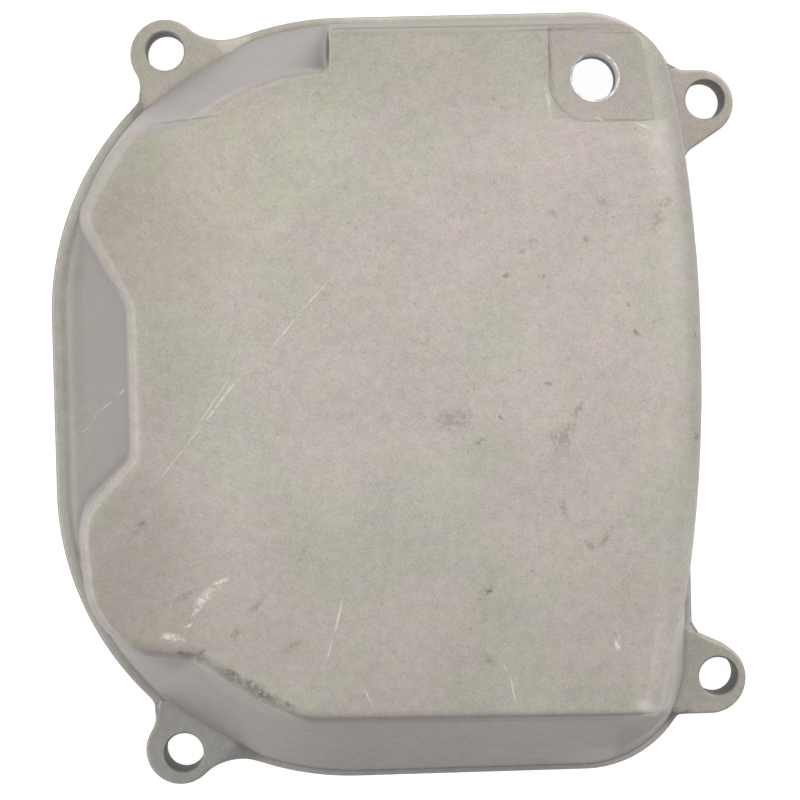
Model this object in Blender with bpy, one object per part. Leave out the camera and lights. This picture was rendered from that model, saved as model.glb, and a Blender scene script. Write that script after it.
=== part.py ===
# Cylinder head cover of a small motorcycle engine, one aluminium casting.
# Units are millimetres in the constants and functions, metres in the meshes.
# Frame: the gasket face lies on z = 0, +Z is up through the roof, +Y runs
# along the longer side, and the origin is at the middle of the footprint.

import math

import bmesh
import bpy
import numpy as np
from mathutils import Vector
from mathutils.geometry import delaunay_2d_cdt

MM = 0.001

# ---------------------------------------------------------------- dimensions
# flange
HALF_LENGTH = 66.15        # along Y, without the ears
LEFT_X = -59.6
RIGHT_X = 50.7
LEFT_R = 51.2              # quarter rounds on the bulge side
RIGHT_R = 19.3, 17.0       # lower and upper corner on the shoulder side
FLANGE_T = 4.0
LIP_LEFT, LIP_RIGHT, LIP_TOP, LIP_BOTTOM = 2.0, 1.2, 1.1, 0.9

# bolt ears: hole centre, ear centre beside it, outer radius
HOLE_R = 3.3               # clearance for M6
EAR_T = 7.0
LEFT_HOLE = (-38.5, 60.6)
RIGHT_HOLE = (54.6, 50.1)

# shell
ROOF_Z = 36.0
WALL = 3.0
ROOF_TOP_Y = 60.2
ROOF_BOTTOM_Y = -51.3      # where the bottom edge starts on the left
ROOF_BOTTOM_RUN = -0.8     # how much lower it ends on the right
STEP_X = -10.4             # the upper left corner of the roof is cut back here
STEP_Y = 53.2
SCOOP_X = -43.9            # wall between the two bulges
SHOULDER_X = 49.8          # widest point of the right shoulder
SHOULDER_Y0 = 8.0
SHOULDER_TOP = 0.0017, 2.0       # how it pulls in towards the breather: factor, power
SHOULDER_END = 0.000431, 2.4     # and towards the other end
SHOULDER_R = 8.0, 4.5      # rounding along most of it, and at its lower end

# breather pad and bore
PAD_X = 25.2
PAD_Y = 44.2
PAD_R = 6.5
PAD_DROP = 0.4
BORE = (32.6, 51.4)
BORE_R = 3.65
BOSS_R = 7.0
BOSS_Z = 29.0

# gasket rim on the underside
RIM_W = 6.0
GROOVE_FROM = 1.8
GROOVE_W = 2.4
GROOVE_D = 2.0


# ------------------------------------------------------------ plane geometry
def rounded(verts):
    """Closed outline from corner points (x, y, r), counter-clockwise, as a
    list of pieces: ('line', p, q) and ('arc', centre, r, a0, sweep)."""
    n = len(verts)
    ends = []
    for i in range(n):
        px, py, _ = verts[i - 1]
        x, y, r = verts[i]
        qx, qy, _ = verts[(i + 1) % n]
        a = np.array([px - x, py - y])
        b = np.array([qx - x, qy - y])
        a /= np.linalg.norm(a)
        b /= np.linalg.norm(b)
        p = np.array([x, y], float)
        turn = math.atan2(-a[0] * b[1] + a[1] * b[0], -(a @ b))
        t = r * math.tan(abs(turn) / 2)
        side = 1 if turn > 0 else -1
        start, end = p + a * t, p + b * t
        normal = np.array([a[1], -a[0]]) * side
        centre = start + normal * r
        a0 = math.atan2(*(start - centre)[::-1])
        ends.append((start, end, centre, r, a0, turn))
    pieces = []
    for i in range(n):
        start, end, centre, r, a0, turn = ends[i]
        if r > 0:
            pieces.append(("arc", centre, r, a0, turn))
        nxt = ends[(i + 1) % n][0]
        if np.linalg.norm(nxt - end) > 1e-6:
            pieces.append(("line", end, nxt))
    return pieces


class Outline:
    """A closed outline sampled finely, with points, inward normals and
    distance along it."""

    def __init__(self, verts, step=0.05):
        pts = []
        self.knots = []
        for piece in rounded(verts):
            if piece[0] == "line":
                p, q = piece[1], piece[2]
                length = np.linalg.norm(q - p)
                k = max(2, int(length / step))
                w = np.linspace(0, 1, k, endpoint=False)[:, None]
                new = p + (q - p) * w
            else:
                _, c, r, a0, turn = piece
                length = abs(turn) * r
                k = max(6, int(length / step))
                a = a0 + turn * np.linspace(0, 1, k, endpoint=False)
                new = np.c_[c[0] + r * np.cos(a), c[1] + r * np.sin(a)]
            self.knots.append(len(pts))
            pts.extend(new)
        self.pts = np.array(pts)
        nxt = np.roll(self.pts, -1, axis=0)
        prv = np.roll(self.pts, 1, axis=0)
        seg = np.linalg.norm(nxt - self.pts, axis=1)
        self.s = np.concatenate([[0], np.cumsum(seg)])
        self.length = self.s[-1]
        tan = nxt - prv
        tan /= np.linalg.norm(tan, axis=1)[:, None]
        self.nrm = np.c_[-tan[:, 1], tan[:, 0]]

    def at(self, s):
        s = np.mod(s, self.length)
        closed = np.vstack([self.pts, self.pts[:1]])
        return np.c_[np.interp(s, self.s, closed[:, 0]),
                     np.interp(s, self.s, closed[:, 1])]

    def normal(self, s):
        s = np.mod(s, self.length)
        closed = np.vstack([self.nrm, self.nrm[:1]])
        n = np.c_[np.interp(s, self.s, closed[:, 0]),
                  np.interp(s, self.s, closed[:, 1])]
        return n / np.linalg.norm(n, axis=1)[:, None]

    def nearest(self, p):
        d = np.hypot(self.pts[:, 0] - p[0], self.pts[:, 1] - p[1])
        return self.s[int(np.argmin(d))]


def inset(verts, d):
    """Corner points of an outline moved inwards by d on every side."""
    n = len(verts)
    out = []
    for i in range(n):
        p = np.array(verts[i][:2], float)
        a = p - np.array(verts[i - 1][:2], float)
        b = np.array(verts[(i + 1) % n][:2], float) - p
        a /= np.linalg.norm(a)
        b /= np.linalg.norm(b)
        turn = math.atan2(a[0] * b[1] - a[1] * b[0], a @ b)
        na, nb = np.array([-a[1], a[0]]), np.array([-b[1], b[0]])
        m = na + nb
        m *= d / (m @ na)
        r = verts[i][2]
        r = max(r - d, 2.1) if turn > 0 else r + d
        out.append((p[0] + m[0], p[1] + m[1], r))
    return out


def flange_corners(lip):
    """Corner points of the flange outline, pulled in by the lip widths
    (left, right, top, bottom)."""
    le, ri, to, bo = lip
    side = (ri + bo) / 2, (ri + to) / 2, (le + to) / 2, (le + bo) / 2
    return [(RIGHT_X - ri, -HALF_LENGTH + bo, RIGHT_R[0] - side[0]),
            (RIGHT_X - ri, HALF_LENGTH - to, RIGHT_R[1] - side[1]),
            (LEFT_X + le, HALF_LENGTH - to, LEFT_R - side[2]),
            (LEFT_X + le, -HALF_LENGTH + bo, LEFT_R - side[3])]


# the edge of the roof where its plane would meet the walls, from the lower
# right corner round: shoulder, top edge, step, crease, upper bulge, scoop,
# lower bulge, crease, bottom edge
ROOF_CORNERS = [
    (40.2, ROOF_BOTTOM_Y + ROOF_BOTTOM_RUN, 1.5),
    (56.4, 4.4, 182.0),
    (42.6, ROOF_TOP_Y - 0.3, 10.0),
    (STEP_X, ROOF_TOP_Y, 1.3),
    (STEP_X, STEP_Y, 0.9),
    (-22.1, 52.7, 34.0),
    (-33.0, 45.9, 5.0),
    (-42.0, 45.3, 7.5),
    (-47.3, 38.8, 40.0),
    (-51.7, 30.6, 4.8),
    (SCOOP_X, 16.2, 4.0),
    (SCOOP_X, -8.0, 3.0),
    (-52.9, -17.6, 9.0),
    (-51.6, -33.2, 13.0),
    (-44.7, -39.9, 9.0),
    (-34.9, -40.8, 3.0),
    (-18.3, ROOF_BOTTOM_Y, 14.0),
]


def shoulder_edge(y):
    d = y - SHOULDER_Y0
    up, down = np.maximum(d, 0), np.maximum(-d, 0)
    return SHOULDER_X - SHOULDER_TOP[0] * up ** SHOULDER_TOP[1] \
        - SHOULDER_END[0] * down ** SHOULDER_END[1]


def shoulder_radius(y):
    w = np.clip((-y - 15.0) / 39.0, 0, 1)
    return SHOULDER_R[0] - (SHOULDER_R[0] - SHOULDER_R[1]) * w * w * (3 - 2 * w)


def top_z(x, y, sink=0.0):
    """Height of the roof with its right shoulder; sink moves the surface
    inwards by that much, for the inner side."""
    r = shoulder_radius(y) - sink
    d = x - (shoulder_edge(y) - sink - r)
    dd = np.clip(d, 0, r)
    z = ROOF_Z - sink - r + np.sqrt(np.maximum(r * r - dd * dd, 0))
    return z - np.maximum(d - r, 0) * 10.0


def stations(edge, foot, reach, turn_edge, turn_foot):
    """Distances along the roof edge outline, close enough for its own bends
    and for those of the foot outline that they project to."""
    s = sorted(set(float(edge.s[k]) for k in edge.knots))
    s.append(edge.length)

    def split(a, b, depth):
        pa, pb = edge.at(a)[0], edge.at(b)[0]
        na, nb = edge.normal(a + 1e-3)[0], edge.normal(b - 1e-3)[0]
        fa, fb = foot.nearest(pa), foot.nearest(pb)
        ma, mb = foot.normal(fa)[0], foot.normal(fb)[0]
        far = b - a > reach
        bend = math.acos(max(-1, min(1, na @ nb))) > turn_edge
        swing = math.acos(max(-1, min(1, ma @ mb))) > turn_foot
        if depth < 8 and b - a > 0.25 and (far or bend or swing):
            m = (a + b) / 2
            return split(a, m, depth + 1) + split(m, b, depth + 1)
        return [a]

    out = []
    for a, b in zip(s[:-1], s[1:]):
        if b - a > 1e-6:
            out += split(a, b, 0)
    return np.array(out)


def shell_rings(edge_corners, foot_corners, foot_z, sink, reach, turn_edge,
                turn_foot, rows_low, rows_high, rows_round, round_t, start_z):
    """Rings of points up the outside of the shell: foot, wall, edge rounding
    and the first ring on the roof. Returns the list of rings."""
    edge, foot = Outline(edge_corners), Outline(foot_corners)
    s = stations(edge, foot, reach, turn_edge, turn_foot)
    e, ne = edge.at(s), edge.normal(s)
    t = np.array([foot.nearest(p) for p in e])
    # unwrap, then spread points that project to one place, as at the step
    k = int(np.argmin(t))
    t = np.where(np.arange(len(t)) < k, t - foot.length, t) if k < len(t) / 2 \
        else np.where(np.arange(len(t)) >= k, t + foot.length, t)
    t = np.maximum.accumulate(t)
    for _ in range(4):
        ext = np.concatenate([[t[-1] - foot.length], t, [t[0] + foot.length]])
        t = 0.25 * ext[:-2] + 0.5 * ext[1:-1] + 0.25 * ext[2:]
    f = foot.at(t)
    top = ROOF_Z - sink
    run = np.linalg.norm(e - f, axis=1)
    d = (e - f) / run[:, None]

    # the knee K: on the straight wall line, or in the scoop between the
    # bulges where its sloping floor meets the steep wall
    kz = foot_z + 0.3 * (top - foot_z)
    line = np.c_[0.3 * run, np.full(len(run), kz)]
    w = np.clip((run - 5.0 - 0.4 * sink) / 2.0, 0, 1)
    w = w * w * (3 - 2 * w)
    inside = (e[:, 0] < -38) & (e[:, 1] > -27 - sink) & (e[:, 1] < 34 + sink)
    w = np.where(inside, w, 0)
    steep, rise = 8.0, 0.86
    f0 = 4.4 - 0.55 * sink
    sk = np.maximum((steep * run - (top - f0)) / (steep - rise), 0.05)
    scoop = np.c_[sk, np.maximum(f0 + rise * sk, foot_z + 0.2)]
    knee = line * (1 - w)[:, None] + scoop * w[:, None]

    # wall line foot -> knee -> edge, cut off where it meets the roof surface
    tau = np.linspace(0, 1, 401)
    rings = []
    cut_s, cut_z = [], []
    for i in range(len(run)):
        ss = np.concatenate([knee[i, 0] + (run[i] - knee[i, 0]) * tau])
        zz = np.concatenate([knee[i, 1] + (top - knee[i, 1]) * tau])
        p = f[i] + d[i] * ss[:, None]
        over = zz - top_z(p[:, 0], p[:, 1], sink)
        under = np.nonzero(over < -1e-9)[0]
        j = int(under[-1]) if len(under) else len(tau) - 2
        a, b = over[j], over[j + 1]
        q = min(1, max(0, -a / (b - a))) if b > a else 1
        cut_s.append(ss[j] + (ss[j + 1] - ss[j]) * q)
        cut_z.append(zz[j] + (zz[j + 1] - zz[j]) * q)
    cut = np.c_[cut_s, cut_z]
    edge_xy = f + d * cut[:, :1]

    def ring(sz):
        return np.c_[f + d * sz[:, :1], sz[:, 1]]

    if start_z < foot_z:
        rings.append(np.c_[f, np.full(len(f), start_z)])
    low = np.c_[np.zeros(len(f)), np.full(len(f), foot_z)]
    for j in range(rows_low):
        q = j / rows_low
        rings.append(ring(low * (1 - q) + knee * q))
    # length set aside for rounding the edge
    wall = cut - knee
    wall_len = np.linalg.norm(wall, axis=1)
    back = np.minimum(round_t, 0.5 * wall_len) / wall_len
    stop = cut - wall * back[:, None]
    for j in range(rows_high):
        q = j / rows_high
        rings.append(ring(knee * (1 - q) + stop * q))
    p0 = ring(stop)
    p1 = np.c_[edge_xy, cut[:, 1]]
    inner = edge_xy + ne * np.minimum(round_t, 0.5 * wall_len)[:, None]
    p2 = np.c_[inner, top_z(inner[:, 0], inner[:, 1], sink)]
    for j in range(rows_round + 1):
        q = j / rows_round
        rings.append(p0 * (1 - q) ** 2 + p1 * 2 * q * (1 - q) + p2 * q * q)
    return rings


def unroll(x, y, sink=0.0):
    """Distance along the roof and shoulder from x = 0, for flattening."""
    r = shoulder_radius(y) - sink
    d = x - (shoulder_edge(y) - sink - r)
    a = np.arcsin(np.clip(d / r, 0, 1)) * r
    return np.where(d > 0, x - d + a, x)


def roll(a, y, sink=0.0):
    r = shoulder_radius(y) - sink
    xs = shoulder_edge(y) - sink - r
    ang = np.clip((a - xs) / r, 0, math.pi / 2)
    return np.where(a > xs, xs + r * np.sin(ang), a)


def cap_points(last, sink, cols, step_y):
    """Points on the curved shoulder inside the last ring."""
    pts = []
    poly = np.c_[unroll(last[:, 0], last[:, 1], sink), last[:, 1]]
    for y in np.arange(-50.0, 58.0, step_y):
        r = shoulder_radius(y) - sink
        xs = shoulder_edge(y) - sink - r
        for j in range(cols + 1):
            a = xs + r * (math.pi / 2) * j / (cols + 0.6)
            if inside_by(poly, a, y, 0.9):
                pts.append((a, y))
    return poly, pts


def inside_by(poly, x, y, margin):
    nxt = np.roll(poly, -1, axis=0)
    cond = (poly[:, 1] > y) != (nxt[:, 1] > y)
    with np.errstate(divide="ignore", invalid="ignore"):
        cross = (nxt[:, 0] - poly[:, 0]) * (y - poly[:, 1]) \
            / (nxt[:, 1] - poly[:, 1]) + poly[:, 0]
    if np.count_nonzero(cond & (x < cross)) % 2 == 0:
        return False
    d = nxt - poly
    q = ((x - poly[:, 0]) * d[:, 0] + (y - poly[:, 1]) * d[:, 1]) \
        / np.maximum((d * d).sum(axis=1), 1e-12)
    q = np.clip(q, 0, 1)
    c = poly + d * q[:, None]
    return np.hypot(c[:, 0] - x, c[:, 1] - y).min() > margin


# ------------------------------------------------------------------- meshing
def new_object(name, verts, faces, cutter=False):
    mesh = bpy.data.meshes.new(name)
    mesh.from_pydata([tuple(float(c) * MM for c in v) for v in verts], [],
                     [tuple(int(i) for i in f) for f in faces])
    bm = bmesh.new()
    bm.from_mesh(mesh)
    bmesh.ops.recalc_face_normals(bm, faces=bm.faces)
    if bm.calc_volume(signed=True) < 0:
        bmesh.ops.reverse_faces(bm, faces=bm.faces)
    bm.to_mesh(mesh)
    bm.free()
    obj = bpy.data.objects.new(name, mesh)
    bpy.context.scene.collection.objects.link(obj)
    if cutter:
        obj.hide_render = True
        obj.display_type = "WIRE"
    return obj


def shell(name, rings, sink, cols, step_y):
    """Closed solid from stacked rings: flat underneath, roof surface on
    top."""
    n = len(rings[0])
    verts = np.vstack(rings)
    faces = [tuple(range(n))[::-1]]
    for k in range(len(rings) - 1):
        for i in range(n):
            j = (i + 1) % n
            a, b = k * n, (k + 1) * n
            faces.append((a + i, a + j, b + j, b + i))
    last = rings[-1]
    poly, extra = cap_points(last, sink, cols, step_y)
    flat = [Vector(p) for p in poly] + [Vector(p) for p in extra]
    loop = [(i, (i + 1) % n) for i in range(n)]
    out = delaunay_2d_cdt(flat, loop, [], 1, 1e-5)
    base = (len(rings) - 1) * n
    index = {}
    added = []
    for i, p in enumerate(out[0]):
        src = out[3][i]
        if src and src[0] < n:
            index[i] = base + src[0]
        else:
            x = float(roll(p[0], p[1], sink))
            index[i] = len(verts) + len(added)
            added.append((x, p[1], float(top_z(x, p[1], sink))))
    for f in out[2]:
        faces.append(tuple(index[i] for i in f))
    verts = np.vstack([verts, np.array(added)]) if added else verts
    return new_object(name, verts, faces, cutter=True)


def prism(name, outline, z0, z1):
    n = len(outline)
    verts = [(x, y, z0) for x, y in outline] + [(x, y, z1) for x, y in outline]
    faces = [tuple(range(n))[::-1], tuple(range(n, 2 * n))]
    faces += [(i, (i + 1) % n, n + (i + 1) % n, n + i) for i in range(n)]
    return new_object(name, verts, faces, cutter=True)


def ring_prism(name, outer, inner, z0, z1):
    n = len(outer)
    verts = [(x, y, z0) for x, y in outer] + [(x, y, z1) for x, y in outer]
    verts += [(x, y, z0) for x, y in inner] + [(x, y, z1) for x, y in inner]
    faces = []
    for i in range(n):
        j = (i + 1) % n
        faces.append((i, j, n + j, n + i))
        faces.append((2 * n + j, 2 * n + i, 3 * n + i, 3 * n + j))
        faces.append((n + i, n + j, 3 * n + j, 3 * n + i))
        faces.append((j, i, 2 * n + i, 2 * n + j))
    return new_object(name, verts, faces, cutter=True)


def circle(x, y, r, n):
    return [(x + r * math.cos(2 * math.pi * i / n),
             y + r * math.sin(2 * math.pi * i / n)) for i in range(n)]


def arc(cx, cy, r, a0, a1, n):
    return [(cx + r * math.cos(a0 + (a1 - a0) * i / n),
             cy + r * math.sin(a0 + (a1 - a0) * i / n)) for i in range(n + 1)]


# ----------------------------------------------------------- the ear outlines
def blend_centre(c0, r0, c1, r1, side):
    """Centre of a circle at distance r0 from c0 and r1 from c1, on the given
    side of the line between them."""
    dx, dy = c1[0] - c0[0], c1[1] - c0[1]
    d = math.hypot(dx, dy)
    a = (r0 * r0 - r1 * r1 + d * d) / (2 * d)
    h = math.sqrt(max(r0 * r0 - a * a, 0))
    ux, uy = dx / d, dy / d
    return (c0[0] + a * ux - side * h * uy, c0[1] + a * uy + side * h * ux)


def left_ear(sign, centre, r, body_in):
    """Ear on a quarter round: a circle joined to the flange by a wide blend
    towards the middle of the cover and a tight one outside. body_in is how
    far the outline ends inside the flange edge."""
    big = (LEFT_X + LEFT_R, HALF_LENGTH - LEFT_R)
    wide, tight = 8.0, 4.5
    cy = centre[1]
    cw = blend_centre(big, LEFT_R + wide, (centre[0], cy), r + wide, -1)
    ct = blend_centre(big, LEFT_R + tight, (centre[0], cy), r + tight, 1)
    ang = lambda p, q: math.atan2(q[1] - p[1], q[0] - p[0])
    out = []
    # from the wide blend on the flange, round the ear, to the tight blend
    a0, a1 = ang(cw, big), ang(cw, centre)
    if a1 > a0:
        a1 -= 2 * math.pi
    out += arc(cw[0], cw[1], wide, a0, a1, 8)
    a0, a1 = ang(centre, cw), ang(centre, ct)
    if a1 < a0:
        a1 += 2 * math.pi
    out += arc(centre[0], cy, r, a0, a1, 20)[1:]
    a0, a1 = ang(ct, centre), ang(ct, big)
    if a1 > a0:
        a1 -= 2 * math.pi
    out += arc(ct[0], ct[1], tight, a0, a1, 6)[1:]
    # close it inside the wall
    for p in (out[-1], out[0]):
        v = np.array(big) - np.array(p)
        v /= np.linalg.norm(v)
        out.append((p[0] + v[0] * body_in, p[1] + v[1] * body_in))
    if sign < 0:
        out = [(x, -y) for x, y in out][::-1]
    return out


def right_ear(sign, centre, r, body_in, slant):
    """Ear on a right corner: a circle, a straight edge along the end of the
    cover and a slanting edge down to the side, tangent at angle -slant."""
    cx, cy = centre
    corner_r = RIGHT_R[1] if sign > 0 else RIGHT_R[0]
    big = (RIGHT_X - corner_r, HALF_LENGTH - corner_r)
    out = []
    # slanting edge, with a blend to x = RIGHT_X
    ta = -math.radians(slant)
    tx, ty = cx + r * math.cos(ta), cy + r * math.sin(ta)
    ux, uy = math.sin(ta), -math.cos(ta)       # direction down and inwards
    rho = 3.5
    # centre of the blend: rho right of the side and rho below the edge line
    bx = RIGHT_X + rho
    q = (bx - (tx + rho * math.cos(ta))) / ux
    by = ty + rho * math.sin(ta) + q * uy
    out += arc(bx, by, rho, math.pi, math.pi + ta, 6)
    # ear circle
    out += arc(cx, cy, r, ta, math.pi / 2, 18)
    # edge along the end, blended to the corner round
    end_y = cy + r
    rho = 3.0
    ex = big[0] + math.sqrt((corner_r + rho) ** 2 - (end_y + rho - big[1]) ** 2)
    a1 = math.atan2(big[1] - (end_y + rho), big[0] - ex)
    out += arc(ex, end_y + rho, rho, -math.pi / 2, a1, 5)
    p = out[-1]
    v = np.array(big) - np.array(p)
    v /= np.linalg.norm(v)
    out.append((p[0] + v[0] * body_in, p[1] + v[1] * body_in))
    out.append((out[0][0] - body_in, out[0][1]))
    if sign < 0:
        out = [(x, -y) for x, y in out][::-1]
    return out


EARS = [
    ("left", 1, (-38.4, 60.05), 6.05, 0),
    ("right", 1, (53.87, 49.58), 5.7, 57.0),
    ("left", -1, (-39.1, 60.15), 6.0, 0),
    ("right", -1, (53.3, 50.4), 6.18, 65.0),
]


def combine(target, tool, operation):
    mod = target.modifiers.new(tool.name, "BOOLEAN")
    mod.operation = operation
    mod.solver = "EXACT"
    mod.object = tool


def build():
    for obj in list(bpy.data.objects):
        bpy.data.objects.remove(obj, do_unlink=True)

    # flange plate
    flange = Outline(flange_corners((0, 0, 0, 0)))
    plate = []
    for piece in rounded(flange_corners((0, 0, 0, 0))):
        if piece[0] == "arc":
            _, c, r, a0, turn = piece
            k = 12 if r < 30 else 22
            plate += arc(c[0], c[1], r, a0, a0 + turn, k)
    cover = prism("head_cover", plate, 0.0, FLANGE_T)
    cover.hide_render = False
    cover.display_type = "TEXTURED"

    # outer shell, starting inside the flange
    lip = (LIP_LEFT, LIP_RIGHT, LIP_TOP, LIP_BOTTOM)
    rings = shell_rings(ROOF_CORNERS, flange_corners(lip), FLANGE_T, 0.0,
                        9.0, math.radians(24), math.radians(9),
                        1, 1, 2, 1.0, 1.0)
    outer = shell("shell_outer", rings, 0.0, 6, 5.0)
    combine(cover, outer, "UNION")

    # bolt ears: thin web with the flange's thickness and a raised boss
    for k, (side, sign, centre, r, slant) in enumerate(EARS):
        outline = left_ear(sign, centre, r, 3.0) if side == "left" \
            else right_ear(sign, centre, r, 3.0, slant)
        combine(cover, prism("ear_%d" % k, outline, 0.0, EAR_T), "UNION")

    # inside of the shell
    rim = (RIM_W,) * 4
    rings = shell_rings(inset(ROOF_CORNERS, WALL), flange_corners(rim), 0.0,
                        WALL, 9.0, math.radians(24), math.radians(10),
                        1, 1, 2, 1.6, -1.0)
    inner = shell("shell_inner", rings, WALL, 4, 5.0)
    combine(cover, inner, "DIFFERENCE")

    # breather boss under the roof, pad on top and the bore through both
    combine(cover, prism("breather_boss", circle(*BORE, BOSS_R, 32),
                         BOSS_Z, ROOF_Z - PAD_DROP - 0.9), "UNION")
    pad = [(60.0, PAD_Y), (60.0, 70.0), (PAD_X, 70.0)]
    pad += arc(PAD_X + PAD_R, PAD_Y + PAD_R, PAD_R, math.pi, 1.5 * math.pi, 6)
    combine(cover, prism("pad", pad, ROOF_Z - PAD_DROP, ROOF_Z + 2.0),
            "DIFFERENCE")
    combine(cover, prism("bore", circle(*BORE, BORE_R, 32), 20.0, 40.0),
            "DIFFERENCE")

    # bolt holes
    for k, (hx, hy) in enumerate((LEFT_HOLE, RIGHT_HOLE,
                                  (LEFT_HOLE[0], -LEFT_HOLE[1]),
                                  (RIGHT_HOLE[0], -RIGHT_HOLE[1]))):
        combine(cover, prism("hole_%d" % k, circle(hx, hy, HOLE_R, 32),
                             -2.0, 12.0), "DIFFERENCE")

    # gasket groove
    def loop(d):
        pts = []
        for piece in rounded(flange_corners((d,) * 4)):
            if piece[0] == "arc":
                _, c, r, a0, turn = piece
                pts += arc(c[0], c[1], r, a0, a0 + turn, 12 if r < 30 else 22)
        return pts

    combine(cover, ring_prism("groove", loop(GROOVE_FROM),
                              loop(GROOVE_FROM + GROOVE_W), -1.0, GROOVE_D),
            "DIFFERENCE")

    mat = bpy.data.materials.new("cast_aluminium")
    mat.use_nodes = True
    bsdf = mat.node_tree.nodes["Principled BSDF"]
    bsdf.inputs["Base Color"].default_value = (0.47, 0.44, 0.40, 1.0)
    bsdf.inputs["Roughness"].default_value = 0.65
    bsdf.inputs["Metallic"].default_value = 0.35
    cover.data.materials.append(mat)
    cover.data.shade_smooth()
    cover.data.set_sharp_from_angle(angle=math.radians(28))


build()
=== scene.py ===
import math

import bmesh
import bpy
import numpy as np
from mathutils import Matrix, Vector
from mathutils.geometry import delaunay_2d_cdt


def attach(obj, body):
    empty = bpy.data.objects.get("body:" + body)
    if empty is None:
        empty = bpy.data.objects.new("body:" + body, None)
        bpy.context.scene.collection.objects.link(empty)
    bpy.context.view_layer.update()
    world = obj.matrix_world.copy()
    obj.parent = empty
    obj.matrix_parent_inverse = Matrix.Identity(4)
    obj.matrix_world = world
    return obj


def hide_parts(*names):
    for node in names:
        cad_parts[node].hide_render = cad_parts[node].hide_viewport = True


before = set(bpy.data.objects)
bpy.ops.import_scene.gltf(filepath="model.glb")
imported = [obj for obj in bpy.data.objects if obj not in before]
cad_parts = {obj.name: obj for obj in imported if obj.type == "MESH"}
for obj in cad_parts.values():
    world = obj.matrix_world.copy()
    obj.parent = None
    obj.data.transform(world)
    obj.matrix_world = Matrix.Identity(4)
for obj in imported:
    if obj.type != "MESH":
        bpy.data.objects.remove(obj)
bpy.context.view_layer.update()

# Fine surface of a cast cylinder head cover, with its finish, a floor, soft
# light and a camera. Lengths are millimetres until a mesh is made.
MM = 0.001

# flange, ears, shell and openings, as in the solid model
HALF_LENGTH = 66.15
LEFT_X, RIGHT_X = -59.6, 50.7
LEFT_R = 51.2
RIGHT_R = 19.3, 17.0
FLANGE_T, EAR_T = 4.0, 7.0
LIP_LEFT, LIP_RIGHT, LIP_TOP, LIP_BOTTOM = 2.0, 1.2, 1.1, 0.9
HOLE_R = 3.3
LEFT_HOLE = (-38.5, 60.6)
RIGHT_HOLE = (54.6, 50.1)
ROOF_Z = 36.0
WALL = 3.0
ROOF_TOP_Y = 60.2
ROOF_BOTTOM_Y = -51.3
ROOF_BOTTOM_RUN = -0.8
STEP_X, STEP_Y = -10.4, 53.2
SCOOP_X = -43.9
SHOULDER_X, SHOULDER_Y0 = 49.8, 8.0
SHOULDER_TOP = 0.0017, 2.0
SHOULDER_END = 0.000431, 2.4
SHOULDER_R = 8.0, 4.5
PAD_X, PAD_Y, PAD_R, PAD_DROP = 25.2, 44.2, 6.5, 0.4
BORE, BORE_R = (32.6, 51.4), 3.65
BOSS_R, BOSS_Z = 7.0, 29.0
RIM_W = 6.0
GROOVE_FROM, GROOVE_W, GROOVE_D = 1.8, 2.4, 2.0
LIP_ROUND = 0.45           # rounding of the lip and of the ears
CREASE = 0.1               # depth of the groove where the lip meets the wall


# ------------------------------------------------------------ plane geometry
def rounded(verts):
    """Closed outline from corner points (x, y, r), counter-clockwise."""
    n = len(verts)
    ends = []
    for i in range(n):
        px, py, _ = verts[i - 1]
        x, y, r = verts[i]
        qx, qy, _ = verts[(i + 1) % n]
        a = np.array([px - x, py - y])
        b = np.array([qx - x, qy - y])
        a /= np.linalg.norm(a)
        b /= np.linalg.norm(b)
        p = np.array([x, y], float)
        turn = math.atan2(-a[0] * b[1] + a[1] * b[0], -(a @ b))
        t = r * math.tan(abs(turn) / 2)
        side = 1 if turn > 0 else -1
        start, end = p + a * t, p + b * t
        normal = np.array([a[1], -a[0]]) * side
        centre = start + normal * r
        a0 = math.atan2(*(start - centre)[::-1])
        ends.append((start, end, centre, r, a0, turn))
    pieces = []
    for i in range(n):
        start, end, centre, r, a0, turn = ends[i]
        if r > 0:
            pieces.append(("arc", centre, r, a0, turn))
        nxt = ends[(i + 1) % n][0]
        if np.linalg.norm(nxt - end) > 1e-6:
            pieces.append(("line", end, nxt))
    return pieces


class Outline:
    """A closed outline sampled finely, with points, inward normals and
    distance along it."""

    def __init__(self, verts, step=0.05):
        pts = []
        self.knots = []
        for piece in rounded(verts):
            if piece[0] == "line":
                p, q = piece[1], piece[2]
                k = max(2, int(np.linalg.norm(q - p) / step))
                w = np.linspace(0, 1, k, endpoint=False)[:, None]
                new = p + (q - p) * w
            else:
                _, c, r, a0, turn = piece
                k = max(6, int(abs(turn) * r / step))
                a = a0 + turn * np.linspace(0, 1, k, endpoint=False)
                new = np.c_[c[0] + r * np.cos(a), c[1] + r * np.sin(a)]
            self.knots.append(len(pts))
            pts.extend(new)
        self.pts = np.array(pts)
        nxt = np.roll(self.pts, -1, axis=0)
        prv = np.roll(self.pts, 1, axis=0)
        seg = np.linalg.norm(nxt - self.pts, axis=1)
        self.s = np.concatenate([[0], np.cumsum(seg)])
        self.length = self.s[-1]
        tan = nxt - prv
        tan /= np.linalg.norm(tan, axis=1)[:, None]
        self.nrm = np.c_[-tan[:, 1], tan[:, 0]]

    def at(self, s):
        s = np.mod(s, self.length)
        closed = np.vstack([self.pts, self.pts[:1]])
        return np.c_[np.interp(s, self.s, closed[:, 0]),
                     np.interp(s, self.s, closed[:, 1])]

    def normal(self, s):
        s = np.mod(s, self.length)
        closed = np.vstack([self.nrm, self.nrm[:1]])
        n = np.c_[np.interp(s, self.s, closed[:, 0]),
                  np.interp(s, self.s, closed[:, 1])]
        return n / np.linalg.norm(n, axis=1)[:, None]

    def nearest(self, p):
        d = np.hypot(self.pts[:, 0] - p[0], self.pts[:, 1] - p[1])
        return self.s[int(np.argmin(d))]


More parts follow.
